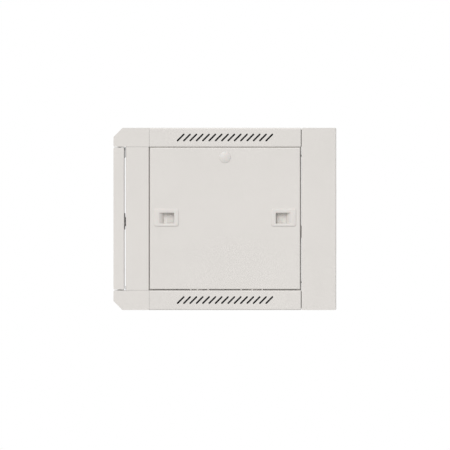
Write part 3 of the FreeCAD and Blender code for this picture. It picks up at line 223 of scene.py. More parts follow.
def zinc_plate(name, tone=1.0):
    """Zinc-plated steel: faint spangle, a blue cast, drawn streaks and dull spots. A tone below 1
    darkens all of it as painted shade.
    """
    material, tree, shader = new_material(name)
    shader.inputs["Metallic"].default_value = 1.0
    cells = add(tree, "ShaderNodeTexVoronoi", Vector=object_place(tree), Scale=170.0)
    spangle = add(tree, "ShaderNodeSeparateColor", Color=cells.outputs["Color"]).outputs["Red"]
    body = blend(tree, spangle, scaled(ZINC_DARK, tone), scaled(ZINC_LIGHT, tone))
    dull_spots = ranged(tree, noise(tree, per_metre=60, detail=4), 0, 0.35)
    body = blend(tree, dull_spots, body, scaled(ZINC_DULL, tone))
    streaks = noise(tree, per_metre=700, detail=3, roughness=0.6, stretch=(1, 1, 0.04))
    set_surface(tree, shader, body, ranged(tree, streaks, 0.30, 0.48))
    relief(tree, shader, streaks, 0.02 * MM, strength=0.5, edge_radius=0.25 * MM)
    return material


def moulded_plastic(name, colour, roughness, grain_depth):
    """Moulded plastic with a fine spark-eroded grain and a painted highlight along its edges."""
    material, tree, shader = new_material(name)
    clouds = ranged(tree, noise(tree, per_metre=30), 0, 1)
    body = blend(tree, clouds, scaled(colour, 0.985), scaled(colour, 1.01))
    # Edges are blended towards a lighter colour: a painted highlight.
    body = blend(tree, edge_highlight_mask(tree, 0.35 * MM, strength=0.45), body, PAINTED_EDGE_HIGHLIGHT)
    gloss = noise(tree, per_metre=90, detail=3)
    set_surface(tree, shader, body, ranged(tree, gloss, roughness - 0.04, roughness + 0.05))
    shader.inputs["Subsurface Weight"].default_value = 0.04
    shader.inputs["Subsurface Scale"].default_value = 1.0 * MM
    grain = noise(tree, per_metre=2200)
    relief(tree, shader, grain, grain_depth, strength=0.5, edge_radius=0.35 * MM)
    return material


def chrome():
    """Chromed zinc die casting with fine handling marks."""
    material, tree, shader = new_material("lock_chrome")
    shader.inputs["Metallic"].default_value = 1.0
    haze = ranged(tree, noise(tree, per_metre=120, detail=4), 0, 1)
    body = blend(tree, haze, CHROME_HAZY, CHROME_CLEAR)
    marks = noise(tree, per_metre=900, detail=4, roughness=0.7, stretch=(1, 0.1, 1))
    set_surface(tree, shader, body, ranged(tree, marks, 0.10, 0.24))
    relief(tree, shader, marks, 0.01 * MM, strength=0.4, edge_radius=0.2 * MM)
    return material


def glass():
    """Toughened clear glass with a faint green body and a trace of smear."""
    material, tree, shader = new_material("toughened_glass")
    shader.inputs["Transmission Weight"].default_value = 1.0
    shader.inputs["IOR"].default_value = GLASS_IOR
    smear = noise(tree, per_metre=14, detail=4, roughness=0.6, stretch=(1, 1, 3))
    tint = blend(tree, ranged(tree, smear, 0, 1), GLASS_BODY, GLASS_SMEARED)
    set_surface(tree, shader, tint, ranged(tree, smear, 0, 0.035))
    relief(tree, shader, noise(tree, per_metre=5, detail=1), 0.05 * MM, strength=0.3)
    return material


def rubber():
    """Black rubber with a dusty, slightly uneven skin."""
    material, tree, shader = new_material("black_rubber")
    dust = noise(tree, per_metre=150, detail=4)
    body = blend(tree, ranged(tree, dust, 0, 1), RUBBER_CLEAN, RUBBER_DUSTY)
    set_surface(tree, shader, body, ranged(tree, dust, 0.62, 0.82))
    skin = noise(tree, per_metre=1400, detail=3)
    relief(tree, shader, skin, 0.04 * MM, strength=0.5, edge_radius=0.3 * MM)
    return material


def brass():
    """Brass with darker tarnish in patches."""
    material, tree, shader = new_material("brass")
    shader.inputs["Metallic"].default_value = 1.0
    tarnish = noise(tree, per_metre=220, detail=4)
    body = blend(tree, ranged(tree, tarnish, 0, 1), BRASS_BRIGHT, BRASS_TARNISHED)
    set_surface(tree, shader, body, ranged(tree, tarnish, 0.22, 0.42))
    skin = noise(tree, per_metre=1200)
    relief(tree, shader, skin, 0.02 * MM, strength=0.4, edge_radius=0.2 * MM)
    return material


MATERIALS = {
    "powder_coat": powder_coat(),
    "zinc_plate": zinc_plate("zinc_plate"),
    "latch_plastic": moulded_plastic("latch_plastic", COAT, 0.48, grain_depth=0.03 * MM),
    "plug_plastic": moulded_plastic(
        "plug_plastic", scaled(COAT, 0.98), 0.46, grain_depth=0.012 * MM
    ),
    "lock_chrome": chrome(),
    "toughened_glass": glass(),
    "black_rubber": rubber(),
    "brass": brass(),
    "bush_nylon": moulded_plastic("bush_nylon", NYLON, 0.42, grain_depth=0.015 * MM),
}
# Zinc darkened as painted shade, for the depth rails seen through the vents.
zinc_painted_shade = zinc_plate("zinc_painted_shade", RAIL_SHADE_TONE)

slot_of = {part["node"]: part["material_slot"] for part in frame["record"]["subparts"]}
for node_name, slot_name in slot_of.items():
    # The depth rails behind the vents get the zinc darkened with painted shade.
    finish = zinc_painted_shade if node_name.endswith("_depth_rail") else MATERIALS[slot_name]
    for holder in frame["nodes"][node_name].material_slots:
        holder.material = finish

# ---------------------------------------------------------------- mesh helpers

# Turns of the points of every round loop. The first of each quarter is the middle of an arm of
# a cross recess, its neighbours are the arm's corners, and the fourth is the corner between
# two arms.
CROSS_TURN = 14.5
QUARTER = (0.0, CROSS_TURN, 30.0, 45.0, 60.0, 90.0 - CROSS_TURN)
TURNS = [math.radians(90 * quarter + step) for quarter in range(4) for step in QUARTER]
SAME_TURN = 1e-6


def loft(mesh, loops, closed=False):
    """Faces between loops with the same number of points, with flat ends or closed on itself."""
    rings = [[mesh.verts.new(point) for point in loop] for loop in loops]
    count = len(rings[0])
    followers = rings[1:] + rings[:1] if closed else rings[1:]
    for ring, following in zip(rings, followers):
        for index in range(count):
            after = (index + 1) % count
            mesh.faces.new((ring[index], ring[after], following[after], following[index]))
    if not closed:
        mesh.faces.new(rings[0])
        mesh.faces.new(rings[-1])


def frame_at(point, direction):
    """A placement whose +Z runs along a direction from a point."""
    turn = Vector(direction).to_track_quat("Z", "Y").to_matrix().to_4x4()
    return Matrix.Translation(point) @ turn


def round_loop(place, radius, level, reach=None):
    """A loop round an axis. The reach, where given, is the outline's radius at a turn."""
    points = []
    for turn in TURNS:
        out = min(radius, reach(turn)) if reach else radius
        points.append(place @ Vector((out * math.cos(turn), out * math.sin(turn), level)))
    return points


def hexagon(across_flats):
    """The radius of a hexagon's outline at a turn."""
    sector = math.pi / 3
    return lambda turn: across_flats / 2 / math.cos((turn + sector / 2) % sector - sector / 2)


def cross(arm):
    """The radius of a cross recess's outline at a turn."""
    half_width = arm * math.tan(math.radians(CROSS_TURN))

    def reach(turn):
        from_arm = turn % (math.pi / 2)
        from_arm = min(from_arm, math.pi / 2 - from_arm)
        if from_arm < math.radians(CROSS_TURN) + SAME_TURN:
            return arm / math.cos(from_arm)
        return half_width / math.sin(from_arm)

    return reach


def soft_box(mesh, low, high, radius, segments=2):
    """A block between two corners, with rounded edges."""
    made = bmesh.ops.create_cube(mesh, size=1.0)["verts"]
    middle = (Vector(low) + Vector(high)) / 2
    size = Vector(high) - Vector(low)
    for vert in made:
        vert.co = middle + Vector([vert.co[axis] * size[axis] for axis in range(3)])
    mesh.edges.index_update()
    edges = {edge for vert in made for edge in vert.link_edges}
    edges = sorted(edges, key=lambda edge: edge.index)
    bmesh.ops.bevel(
        mesh, geom=edges, offset=radius, segments=segments, profile=0.5, affect="EDGES"
    )


# Folds sharper than this are drawn as edges.
SHARP_FOLD = math.radians(35)


def new_piece(name, body, slot, build):
    """A piece made by a function, riding on a body with a slot's finish."""
    mesh = bmesh.new()
    build(mesh)
    bmesh.ops.recalc_face_normals(mesh, faces=mesh.faces)
    data = bpy.data.meshes.new(name)
    mesh.to_mesh(data)
    mesh.free()
    data.shade_smooth()
    data.set_sharp_from_angle(angle=SHARP_FOLD)
    data.materials.append(MATERIALS[slot])
    piece = bpy.data.objects.new(name, data)
    bpy.context.scene.collection.objects.link(piece)
    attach(piece, body)
    return piece


def stand_in(node, build):
    """A detailed piece in place of a CAD node, on the same body and with the same finish."""
    body = frame["nodes"][node]["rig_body"]
    piece = new_piece(node + "_detail", body, slot_of[node], build)
    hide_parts(node)


SAME_POINT = 1e-6


def solids_of(node):
    """The points of each separate solid of a CAD node."""
    mesh = bmesh.new()
    mesh.from_mesh(frame["nodes"][node].data)
    bmesh.ops.remove_doubles(mesh, verts=mesh.verts, dist=SAME_POINT)
    mesh.verts.index_update()
    seen = set()
    solids = []
    for first in mesh.verts:
        if first.index in seen:
            continue
        seen.add(first.index)
        group = [first]
        for vert in group:
            for edge in vert.link_edges:
                other = edge.other_vert(vert)
                if other.index not in seen:
                    seen.add(other.index)
                    group.append(other)
        solids.append([vert.co.copy() for vert in group])
    mesh.free()
    return solids


def limits(points):
    """The lowest and highest corners of some points."""
    low = Vector([min(point[axis] for point in points) for axis in range(3)])
    high = Vector([max(point[axis] for point in points) for axis in range(3)])
    return low, high


# ---------------------------------------------------------------- fasteners

# Points at least this share of the head's radius from the axis mark its seat.
WIDEST = 0.97
SAME_LEVEL = 0.01 * MM

# A thread's depth, and where its root and both sides of its crest lie, as shares of the pitch.
THREAD_DEPTH = 0.55
ROOT_AT = 0.10
CREST_FROM, CREST_TO = 0.48, 0.62
M6_PITCH = 1.0 * MM
# Radius of the bore of an M6 nut.
M6_BORE = 3.05 * MM

# Outlines of screw heads, as shares of the head's radius and of its height.
PAN_HEAD = (
    (0.97, 0.0), (1.0, 0.10), (0.985, 0.40), (0.93, 0.62), (0.83, 0.80), (0.70, 0.92), (0.58, 0.98),
)
# The cross recess of a pan head: the reach of its arms and its level.
RECESS = ((0.52, 1.0), (0.44, 0.62), (0.24, 0.22))
# Shares of a pan screw's shank: the radius of its tip, and where it reaches its full radius.
TIP_RADIUS, TIP_LEVEL = 0.82, 0.86
# A flanged bolt's head: its flange, its hexagon with the width across flats as a share of the
# flange's radius, and the dimple in its crown.
FLANGE = ((0.96, 0.0), (1.0, 0.06), (1.0, 0.16), (0.93, 0.26))
HEXAGON_HEAD = ((1.0, 0.34), (1.0, 0.84), (0.74, 1.0))
HEXAGON_WIDTH = 1.5
HEAD_DIMPLE = ((0.60, 1.0), (0.54, 0.90))
# A bolt's tip: how far it runs before the thread, and how much narrower it is.
BOLT_TIP, BOLT_TIP_CUT = 0.3 * MM, 0.6 * MM
# Where a bolt's thread ends and its plain shank starts, as shares of the shank's length.
THREAD_END, PLAIN_START = 0.35, 0.3

# A nut's chamfer, and the radii of its face and of the cut at its corners, as shares of its
# width across flats.
NUT_CHAMFER = 0.5 * MM
NUT_FACE, NUT_CORNER = 0.475, 0.53
# The level of that cut, as a share of the chamfer.
CORNER_LEVEL = 0.55

# The earth stud, how long and how deep its tip is cut, and its nut.
STUD_RADIUS = 3.0 * MM
STUD_TIP = 0.5 * MM
STUD_TIP_CUT = 0.6 * MM
STUD_NUT_WIDTH = 10 * MM
STUD_NUT_HEIGHT = 5.0 * MM
# The stud's toothed washer: its thickness, where its teeth start, their roots as a share of
# its radius, and the gap round the stud.
WASHER_HEIGHT = 1.4 * MM
TEETH_FROM = 0.2 * MM
TEETH_ROOT = 0.84
WASHER_GAP = 0.1 * MM
# The stud's thread starts inside its nut, at this share of the nut's height.
STUD_THREAD_FROM = 0.9


class Fastener:
    """A screw or bolt as its CAD solid gives it: where its head sits, and its sizes.

    Its axis runs along its longest side where the shank is long, and else along its shortest.
    """

    def __init__(self, points, long_shank):
        low, high = limits(points)
        size = high - low
        axis = (max if long_shank else min)(range(3), key=lambda index: size[index])
        middle = (low + high) / 2

        def from_axis(point):
            offset = point - middle
            offset[axis] = 0
            return offset.length

        self.head_radius = max(from_axis(point) for point in points)
        widest = [point[axis] for point in points if from_axis(point) > WIDEST * self.head_radius]
        seat = sum(widest) / len(widest)
        crown, tip = sorted((low[axis], high[axis]), key=lambda level: abs(level - seat))
        at_tip = [from_axis(point) for point in points if abs(point[axis] - tip) < SAME_LEVEL]
        self.head_height = abs(crown - seat)
        self.shank_radius = max(at_tip)
        self.shank_length = abs(tip - seat)
        foot = middle.copy()
        foot[axis] = seat
        out = Vector((0, 0, 0))
        out[axis] = 1 if crown > seat else -1
        self.place = frame_at(foot, out)


def profiled(place, radius, rise, profile, reach=None):
    """Loops at the shares of a radius and of a rise that a profile lists."""
    return [round_loop(place, share * radius, level * rise, reach) for share, level in profile]


def thread_loops(place, radius, start, end, pitch):
    """Loops of a thread's crests and roots, as rings, from one level to another."""
    root = radius - THREAD_DEPTH * pitch
    turns = max(1, round(abs(end - start) / pitch))
    step = (end - start) / turns
    loops = []
    for index in range(turns):
        base = start + index * step
        loops += [
            round_loop(place, root, base + ROOT_AT * step),
            round_loop(place, radius, base + CREST_FROM * step),
            round_loop(place, radius, base + CREST_TO * step),
        ]
    return loops


def pan_screw(mesh, screw):
    """A pan-head screw with a cross recess."""
    place, radius, rise = screw.place, screw.head_radius, screw.head_height
    shank, length = screw.shank_radius, screw.shank_length
    loops = [
        round_loop(place, TIP_RADIUS * shank, -length),
        round_loop(place, shank, -TIP_LEVEL * length), round_loop(place, shank, 0),
    ]
    loops += profiled(place, radius, rise, PAN_HEAD)
    for arm, level in RECESS:
        loops.append(round_loop(place, radius, level * rise, cross(arm * radius)))
    loft(mesh, loops)


def flange_bolt(mesh, bolt):
    """A flanged hexagon bolt with a thread."""
    place, radius, rise = bolt.place, bolt.head_radius, bolt.head_height
    shank, length = bolt.shank_radius, bolt.shank_length
    loops = [round_loop(place, shank - BOLT_TIP_CUT, -length)]
    loops += thread_loops(place, shank, -length + BOLT_TIP, -THREAD_END * length, M6_PITCH)
    loops += [round_loop(place, shank, -PLAIN_START * length), round_loop(place, shank, 0)]
    loops += profiled(place, radius, rise, FLANGE)
    loops += profiled(place, radius, rise, HEXAGON_HEAD, hexagon(HEXAGON_WIDTH * radius))
    loops += profiled(place, radius, rise, HEAD_DIMPLE)
    loft(mesh, loops)


def hexagon_nut(mesh, place, across_flats, thickness, bore):
    """A hexagon nut with chamfered corners on both faces and a countersunk bore."""
    flats = hexagon(across_flats)
    rounding = (
        (NUT_FACE * across_flats, 0), (NUT_CORNER * across_flats, CORNER_LEVEL * NUT_CHAMFER),
        (across_flats, NUT_CHAMFER),
    )
    mouth = bore + NUT_CHAMFER
    loops = [round_loop(place, mouth, 0)]
    for radius, level in rounding:
        loops.append(round_loop(place, radius, level, flats))
    for radius, level in reversed(rounding):
        loops.append(round_loop(place, radius, thickness - level, flats))
    loops += [
        round_loop(place, mouth, thickness), round_loop(place, bore, thickness - NUT_CHAMFER),
        round_loop(place, bore, NUT_CHAMFER),
    ]
    loft(mesh, loops, closed=True)


def fasteners(node, shape, long_shank=False):
    """A stand-in for a node of screws or bolts, each where its CAD solid is."""

    def build(mesh):
        for points in solids_of(node):
            shape(mesh, Fastener(points, long_shank))

    stand_in(node, build)


def rail_nut_mesh(mesh):
    """The equipment rails' nuts, which all lie across the cabinet."""
    for points in solids_of("rail_nuts"):
        low, high = limits(points)
        middle = (low + high) / 2
        place = frame_at((low.x, middle.y, middle.z), (1, 0, 0))
        hexagon_nut(mesh, place, min(high.y - low.y, high.z - low.z), high.x - low.x, M6_BORE)


def earth_stud_mesh(mesh):
    """The threaded earth stud with its toothed washer and nut."""
    low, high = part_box("rear_earth_stud")
    place = frame_at(((low.x + high.x) / 2, (low.y + high.y) / 2, low.z), (0, 0, 1))
    length = high.z - low.z
    crest = (high.x - low.x) / 2
    teeth = {turn: crest if index % 2 else TEETH_ROOT * crest for index, turn in enumerate(TURNS)}
    hole = STUD_RADIUS + WASHER_GAP
    loft(mesh, [
        round_loop(place, hole, 0), round_loop(place, crest, TEETH_FROM, teeth.get),
        round_loop(place, crest, WASHER_HEIGHT, teeth.get), round_loop(place, hole, WASHER_HEIGHT),
    ], closed=True)
    nut_place = place @ Matrix.Translation((0, 0, WASHER_HEIGHT))
    hexagon_nut(mesh, nut_place, STUD_NUT_WIDTH, STUD_NUT_HEIGHT, M6_BORE)
    thread_from = WASHER_HEIGHT + STUD_THREAD_FROM * STUD_NUT_HEIGHT
    loops = [round_loop(place, STUD_RADIUS, 0), round_loop(place, STUD_RADIUS, thread_from)]
    loops += thread_loops(place, STUD_RADIUS, thread_from, length - STUD_TIP, M6_PITCH)
    loops.append(round_loop(place, STUD_RADIUS - STUD_TIP_CUT, length))
    loft(mesh, loops)


for screw_node in (
    "cable_plate_screws", "rear_plate_screws", "depth_rail_screws", "section_hinge_screws",
    "door_clip_screws", "door_lock_cam_screw", "section_lock_cam_screw",
):
    fasteners(screw_node, pan_screw)
fasteners("rail_bolts", flange_bolt, long_shank=True)
stand_in("rail_nuts", rail_nut_mesh)
stand_in("rear_earth_stud", earth_stud_mesh)

# ---------------------------------------------------------------- side latches and plugs

# The latches lie along a panel. Their places run from the panel's middle towards its ends, and
# their depths go out from the panel's face.
LATCH_LENGTH = 50.5 * MM
LATCH_PROUD = 1.6 * MM
LATCH_CORNER = 5.0 * MM
CORNER_STEPS = 4
# The guide box behind the face: its margin inside the outline, its wall, depth and corners, and
# the back of the face above its hollow.
BOX_MARGIN = 1.2 * MM
BOX_WALL = 1.3 * MM
BOX_DEPTH = 14.6 * MM
BOX_CORNER = 2.0 * MM
HOLLOW_CORNER = 1.0 * MM
FACE_BACK = 2.0 * MM
# The notch at the box's far end, which the tongue goes through: half its width, which stays
# within a share of a loop's half height, and its roof.
NOTCH_HALF = 8.6 * MM
NOTCH_SHARE = 0.6
NOTCH_ROOF = 9.6 * MM
# The gap between the two points at each side of the notch.
HAIR = 0.01 * MM
# The pocket: its far end slopes from the foot to the rim.
POCKET_NEAR = 102.9 * MM
POCKET_FOOT = 124.4 * MM
POCKET_RIM = 132.2 * MM
POCKET_Z = (-9.5 * MM, 12.5 * MM)
POCKET_MIDDLE = (POCKET_Z[0] + POCKET_Z[1]) / 2
POCKET_DEPTH = 7.5 * MM
POCKET_CORNER = 0.7 * MM
RIM_CORNER = 0.9 * MM
# The slope's places between its foot, 0, and its rim, 1, and their depths.
POCKET_SLOPE = ((0.0, -POCKET_DEPTH), (0.16, -5.4 * MM), (0.42, -3.0 * MM), (0.75, -0.7 * MM))
# The rounded edges of the face, in millimetres: growth from the pocket or inset from the
# outline, and the height out from the panel.
RIM_ROUND = ((0.0, 0.7), (0.12, 1.15), (0.4, 1.47), (0.8, 1.6))
FACE_ROUND = ((1.5, 1.6), (0.85, 1.46), (0.35, 1.12), (0.08, 0.6), (0.0, 0.0))

# A slider's grip plate: its back and front, out from the slider's back, its far end, its
# chamfer, half its height, the loops in that half, and how deep its front is dished.
PLATE_BACK, PLATE_FRONT = 3.2 * MM, 5.4 * MM
PLATE_END = 128.4 * MM
PLATE_CHAMFER = 0.3 * MM
GRIP_HALF = 12 * MM
GRIP_STEPS = 6
GRIP_DISH = 1.2 * MM
# The tongue, in millimetres along the panel and out from the slider's back.
TONGUE_TIP = 143.4
TONGUE_OUTLINE = (
    (119.9, 3.4), (119.9, 0.0), (TONGUE_TIP, 0.0), (TONGUE_TIP, 1.0), (141.4, 3.2), (128.0, 3.4),
)
TONGUE_MIDDLE = Vector((131.0, 1.7))
TONGUE_CHAMFER = 0.3
TONGUE_HALF = 8.0 * MM
# The grip's ribs: their section is half an ellipse, sunk a little into the plate.
RIB_COUNT = 6
RIB_START = 104.3 * MM
RIB_PITCH = 2.45 * MM
RIB_HALF = 1.0 * MM
RIB_RISE = 0.85 * MM
RIB_SUNK = 0.1 * MM
RIB_STEPS = 8
# A rib's loops: the share of its full section and the height from the pocket's middle, in
# millimetres.
RIB_LOOPS = (
    (0.35, -9.5), (0.8, -9.2), (1.0, -8.7), (1.0, -5.8), (1.0, -2.9), (1.0, 0.0),
    (1.0, 2.9), (1.0, 5.8), (1.0, 8.7), (0.8, 9.2), (0.35, 9.5),
)

# A plug's outline in millimetres: the radius and the height out from the panel's face.
PLUG_PROFILE = (
    (0.5, 0.0), (7.9, 0.0), (7.9, -4.2), (8.2, -4.5), (9.0, -4.5), (9.35, -3.6), (9.0, -3.0),
    (9.0, 0.0), (11.6, 0.0), (11.75, 0.15), (11.72, 0.42), (11.45, 0.72), (10.8, 1.08),
    (9.7, 1.50), (8.2, 1.92), (6.4, 2.30), (4.4, 2.62), (2.4, 2.82), (0.6, 2.9),
)


def latch_loop(along_range, z_range, corner, depth, notch_depth=None):
    """A rounded rectangle round a latch, as (along the panel, out, up) points.

    Its far end has points either side of the notch, which may lie at another depth.
    """
    near, far = along_range[0] + corner, along_range[1] - corner
    bottom, top = z_range[0] + corner, z_range[1] - corner
    points = []
    centres = ((far, top), (near, top), (near, bottom), (far, bottom))
    for quarter, (centre, centre_z) in enumerate(centres):
        for step in range(CORNER_STEPS + 1):
            turn = math.pi / 2 * (quarter + step / CORNER_STEPS)
            points.append(
                (centre + corner * math.cos(turn), depth, centre_z + corner * math.sin(turn))
            )
    middle_z = (z_range[0] + z_range[1]) / 2
    reach_z = min(NOTCH_HALF, NOTCH_SHARE * (z_range[1] - z_range[0]) / 2)
    inner_depth = depth if notch_depth is None else notch_depth
    points += [
        (along_range[1], depth, middle_z - reach_z - HAIR),
        (along_range[1], inner_depth, middle_z - reach_z),
        (along_range[1], inner_depth, middle_z + reach_z),
        (along_range[1], depth, middle_z + reach_z + HAIR),
    ]
    return points


def grown(pair, margin):
    """A pair of limits moved apart by a margin at each end."""
    return (pair[0] - margin, pair[1] + margin)


def on_side(loops, side, base_x, middle_y, toward):
    """Latch points of loops taken to their places on a side, towards one end of its panel."""
    return [
        [(side * (base_x + out), middle_y + toward * along, z) for along, out, z in loop]
        for loop in loops
    ]


def bezel_mesh(panel_side):
    """Both latch bezels of a side: a soft-edged face, a scooped pocket and a guide box."""

    def build(mesh):
        low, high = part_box(panel_side + "_latch_bezels")
        side = 1 if panel_side == "right" else -1
        face_x = (high.x if side > 0 else -low.x) - LATCH_PROUD
        middle_y = (low.y + high.y) / 2
        far = (high.y - low.y) / 2
        face = ((far - LATCH_LENGTH, far), (low.z, high.z))
        pocket = ((POCKET_NEAR, POCKET_RIM), POCKET_Z)
        box = [grown(pair, -BOX_MARGIN) for pair in face]
        hollow = [grown(pair, -BOX_WALL) for pair in box]
        wall_near = POCKET_NEAR - BOX_WALL
        wall_z = grown(POCKET_Z, BOX_WALL)

        loops = []
        for share, depth in POCKET_SLOPE:
            end = POCKET_FOOT + share * (POCKET_RIM - POCKET_FOOT)
            loops.append(latch_loop((POCKET_NEAR, end), POCKET_Z, POCKET_CORNER, depth))
        for growth, out in RIM_ROUND:
            pairs = [grown(pair, growth * MM) for pair in pocket]
            loops.append(latch_loop(*pairs, RIM_CORNER + growth * MM, out * MM))
        for inset, out in FACE_ROUND:
            pairs = [grown(pair, -inset * MM) for pair in face]
            loops.append(latch_loop(*pairs, LATCH_CORNER - inset * MM, out * MM))
        loops += [
            latch_loop(*box, BOX_CORNER, 0),
            latch_loop(*box, BOX_CORNER, -BOX_DEPTH, -NOTCH_ROOF),
            latch_loop(*hollow, HOLLOW_CORNER, -BOX_DEPTH, -NOTCH_ROOF),
            latch_loop(*hollow, HOLLOW_CORNER, -FACE_BACK),
            latch_loop((wall_near, POCKET_RIM + BOX_WALL), wall_z, HOLLOW_CORNER, -FACE_BACK),
            latch_loop((wall_near, POCKET_FOOT + BOX_WALL), wall_z, HOLLOW_CORNER, -POCKET_DEPTH),
        ]
        for toward in (-1, 1):
            loft(mesh, on_side(loops, side, face_x, middle_y, toward), closed=True)

    return build


def grip_front(offset):
    """The grip's dished front at a height from the pocket's middle."""
    return PLATE_FRONT - GRIP_DISH * (1 - (offset / GRIP_HALF) ** 2)


def grip_loops(near):
    """Loops of a grip plate that starts so far from the panel's middle."""
    loops = []
    for step in range(-GRIP_STEPS, GRIP_STEPS + 1):
        offset = step / GRIP_STEPS * GRIP_HALF
        inset = PLATE_CHAMFER if abs(step) == GRIP_STEPS else 0
        front = grip_front(offset) - inset
        start, end = near + inset, PLATE_END - inset
        outline = ((start, PLATE_BACK), (end, PLATE_BACK), (end, front), (start, front))
        loops.append([(along, out, POCKET_MIDDLE + offset) for along, out in outline])
    return loops


def tongue_loops(tip, middle_z):
    """Loops of a tongue whose tip is so far from the panel's middle."""
    shift = tip - TONGUE_TIP * MM
    inner = TONGUE_HALF - TONGUE_CHAMFER * MM
    loops = []
    for inset, offset in (
        (TONGUE_CHAMFER, -TONGUE_HALF), (0, -inner), (0, inner), (TONGUE_CHAMFER, TONGUE_HALF),
    ):
        loop = []
        for point in TONGUE_OUTLINE:
            pull = (TONGUE_MIDDLE - Vector(point)).normalized() * inset
            along, out = point[0] + pull.x, point[1] + pull.y
            loop.append((along * MM + shift, out * MM, middle_z + offset))
        loops.append(loop)
    return loops


def rib_loops(middle):
    """Loops of a rib on the grip's dished front, at a place along the panel."""
    loops = []
    for share, height in RIB_LOOPS:
        offset = height * MM
        base = grip_front(offset) - RIB_SUNK
        loop = []
        for step in range(RIB_STEPS + 1):
            turn = math.pi * step / RIB_STEPS
            along = middle + share * RIB_HALF * math.cos(turn)
            out = base + share * RIB_RISE * math.sin(turn)
            loop.append((along, out, POCKET_MIDDLE + offset))
        loops.append(loop)
    return loops


def slider_mesh(node):
    """One latch slider: a grip plate with soft ribs, and a ramped tongue at its outer end."""

    def build(mesh):
        low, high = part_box(node)
        side = 1 if low.x > 0 else -1
        panel_low, panel_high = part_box(("right" if side > 0 else "left") + "_latch_bezels")
        middle_y = (panel_low.y + panel_high.y) / 2
        toward = 1 if low.y > middle_y else -1
        back = min(abs(low.x), abs(high.x))
        near, tip = sorted((abs(low.y - middle_y), abs(high.y - middle_y)))
        solids = [grip_loops(near), tongue_loops(tip, (panel_low.z + panel_high.z) / 2)]
        solids += [rib_loops(RIB_START + RIB_PITCH * index) for index in range(RIB_COUNT)]
        for loops in solids:
            loft(mesh, on_side(loops, side, back, middle_y, toward))

    return build


def plug_mesh(node):
    """A low domed plug with a hollow, barbed stem."""

    def build(mesh):
        low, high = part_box(node)
        side = 1 if low.x > 0 else -1
        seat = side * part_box("right_panel")[1].x
        place = frame_at((seat, (low.y + high.y) / 2, (low.z + high.z) / 2), (side, 0, 0))
        loft(mesh, profiled(place, MM, MM, PLUG_PROFILE))

    return build


for side_name in ("right", "left"):
    stand_in(side_name + "_latch_bezels", bezel_mesh(side_name))
    stand_in(side_name + "_panel_plug", plug_mesh(side_name + "_panel_plug"))
    for end_name in ("front", "rear"):
        slider = f"{side_name}_{end_name}_latch_slider"
        stand_in(slider, slider_mesh(slider))

# ---------------------------------------------------------------- nibs, pads and buffers

# The spacer nibs under a side panel, in millimetres: places from the panel's middle, and widths.
NIBS = ((-68.9, 2.6), (-55.8, 3.4), (-34.0, 3.2), (32.7, 3.0), (54.9, 3.0), (75.5, 2.6))
NIB_HEIGHT = 1.55 * MM
NIB_ROUND = 0.3 * MM
# The level of the panel's lower edge, which the nibs hang from.
PANEL_EDGE = -142.3 * MM
# How far the nibs' inner and outer faces lie inside the panel's face.
NIB_INNER, NIB_OUTER = 4.6 * MM, 0.7 * MM
# The door's pads, in millimetres: bottom and top, and how far each stands off the door.
PADS = (((-21.2, -12.2), 1.85), ((-7.2, 12.0), 1.9), ((123.0, 138.0), 1.15), ((138.0, 145.0), 1.5))
PAD_X = (289.5 * MM, 297.0 * MM)
# The radius of a pad's edges, as a share of how far it stands off the door.
PAD_ROUND = 0.36
PAD_SEGMENTS = 3
# How far the lower and upper buffer stand off the post.
BUFFER_RISE = {"lower": 0.6 * MM, "upper": 0.75 * MM}
BUFFER_ROUND = 0.2 * MM


def nibs_mesh(side):
    """Pressed nibs along the lower edge of a side panel, which keep its gap even."""

    def build(mesh):
        low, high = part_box("right_panel")
        middle = (low.y + high.y) / 2
        x_range = sorted((side * (high.x - NIB_INNER), side * (high.x - NIB_OUTER)))
        for place, width in NIBS:
            y_range = [middle + (place + end * width / 2) * MM for end in (-1, 1)]
            z_range = (PANEL_EDGE - NIB_HEIGHT, PANEL_EDGE)
            soft_box(mesh, *zip(x_range, y_range, z_range), NIB_ROUND)

    return build


def door_pads_mesh(mesh):
    """Rubber pads behind the door, by the lock and near the top."""
    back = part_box("door_frame")[1].y
    for (bottom, top), rise in PADS:
        corners = zip(PAD_X, (back, back + rise * MM), (bottom * MM, top * MM))
        soft_box(mesh, *corners, PAD_ROUND * rise * MM, PAD_SEGMENTS)


def buffers_mesh(mesh):
    """The post's two buffers, thin and felt-like."""
    for points in solids_of("door_buffers"):
        low, high = limits(points)
        low.y = high.y - BUFFER_RISE["lower" if high.z < 0 else "upper"]
        soft_box(mesh, low, high, BUFFER_ROUND)


for side_name, side_sign in (("right", 1), ("left", -1)):
    panel_body = side_name + "_side_panel"
    new_piece(side_name + "_panel_nibs", panel_body, "powder_coat", nibs_mesh(side_sign))
new_piece("door_pads", "front_door", "black_rubber", door_pads_mesh)
stand_in("door_buffers", buffers_mesh)

# ---------------------------------------------------------------- seal between the sections

SEAL_WIDTH = 8 * MM
# How far the strips run on along the sides, and how far they lie inside the shell's outline.
SEAL_TURN = 26 * MM
SEAL_INSET = 4 * MM
# The gap between the strips and the main section's rear frame.
SEAL_GAP = 0.1 * MM
SEAL_ROUND = 0.25 * MM


def section_seal_mesh(mesh):
    """Foam strips above and below the rear section's open front, turned round its corners."""
    shell_low, shell_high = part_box("rear_shell")
    y_range = (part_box("rear_frame")[1].y + SEAL_GAP, shell_low.y)
    outer_x, outer_z = shell_high.x - SEAL_INSET, shell_high.z - SEAL_INSET
    inner_x, inner_z = outer_x - SEAL_WIDTH, outer_z - SEAL_WIDTH
    runs = []
    for side in (-1, 1):
        runs.append(((-outer_x, outer_x), sorted((side * inner_z, side * outer_z))))
        for x_range in ((-outer_x, -inner_x), (inner_x, outer_x)):
            runs.append((x_range, sorted((side * (inner_z - SEAL_TURN), side * inner_z))))
    for x_range, z_range in runs:
        soft_box(mesh, *zip(x_range, y_range, z_range), SEAL_ROUND)


new_piece("section_seal", "rear_section", "black_rubber", section_seal_mesh)

# ---------------------------------------------------------------- camera, light and floor

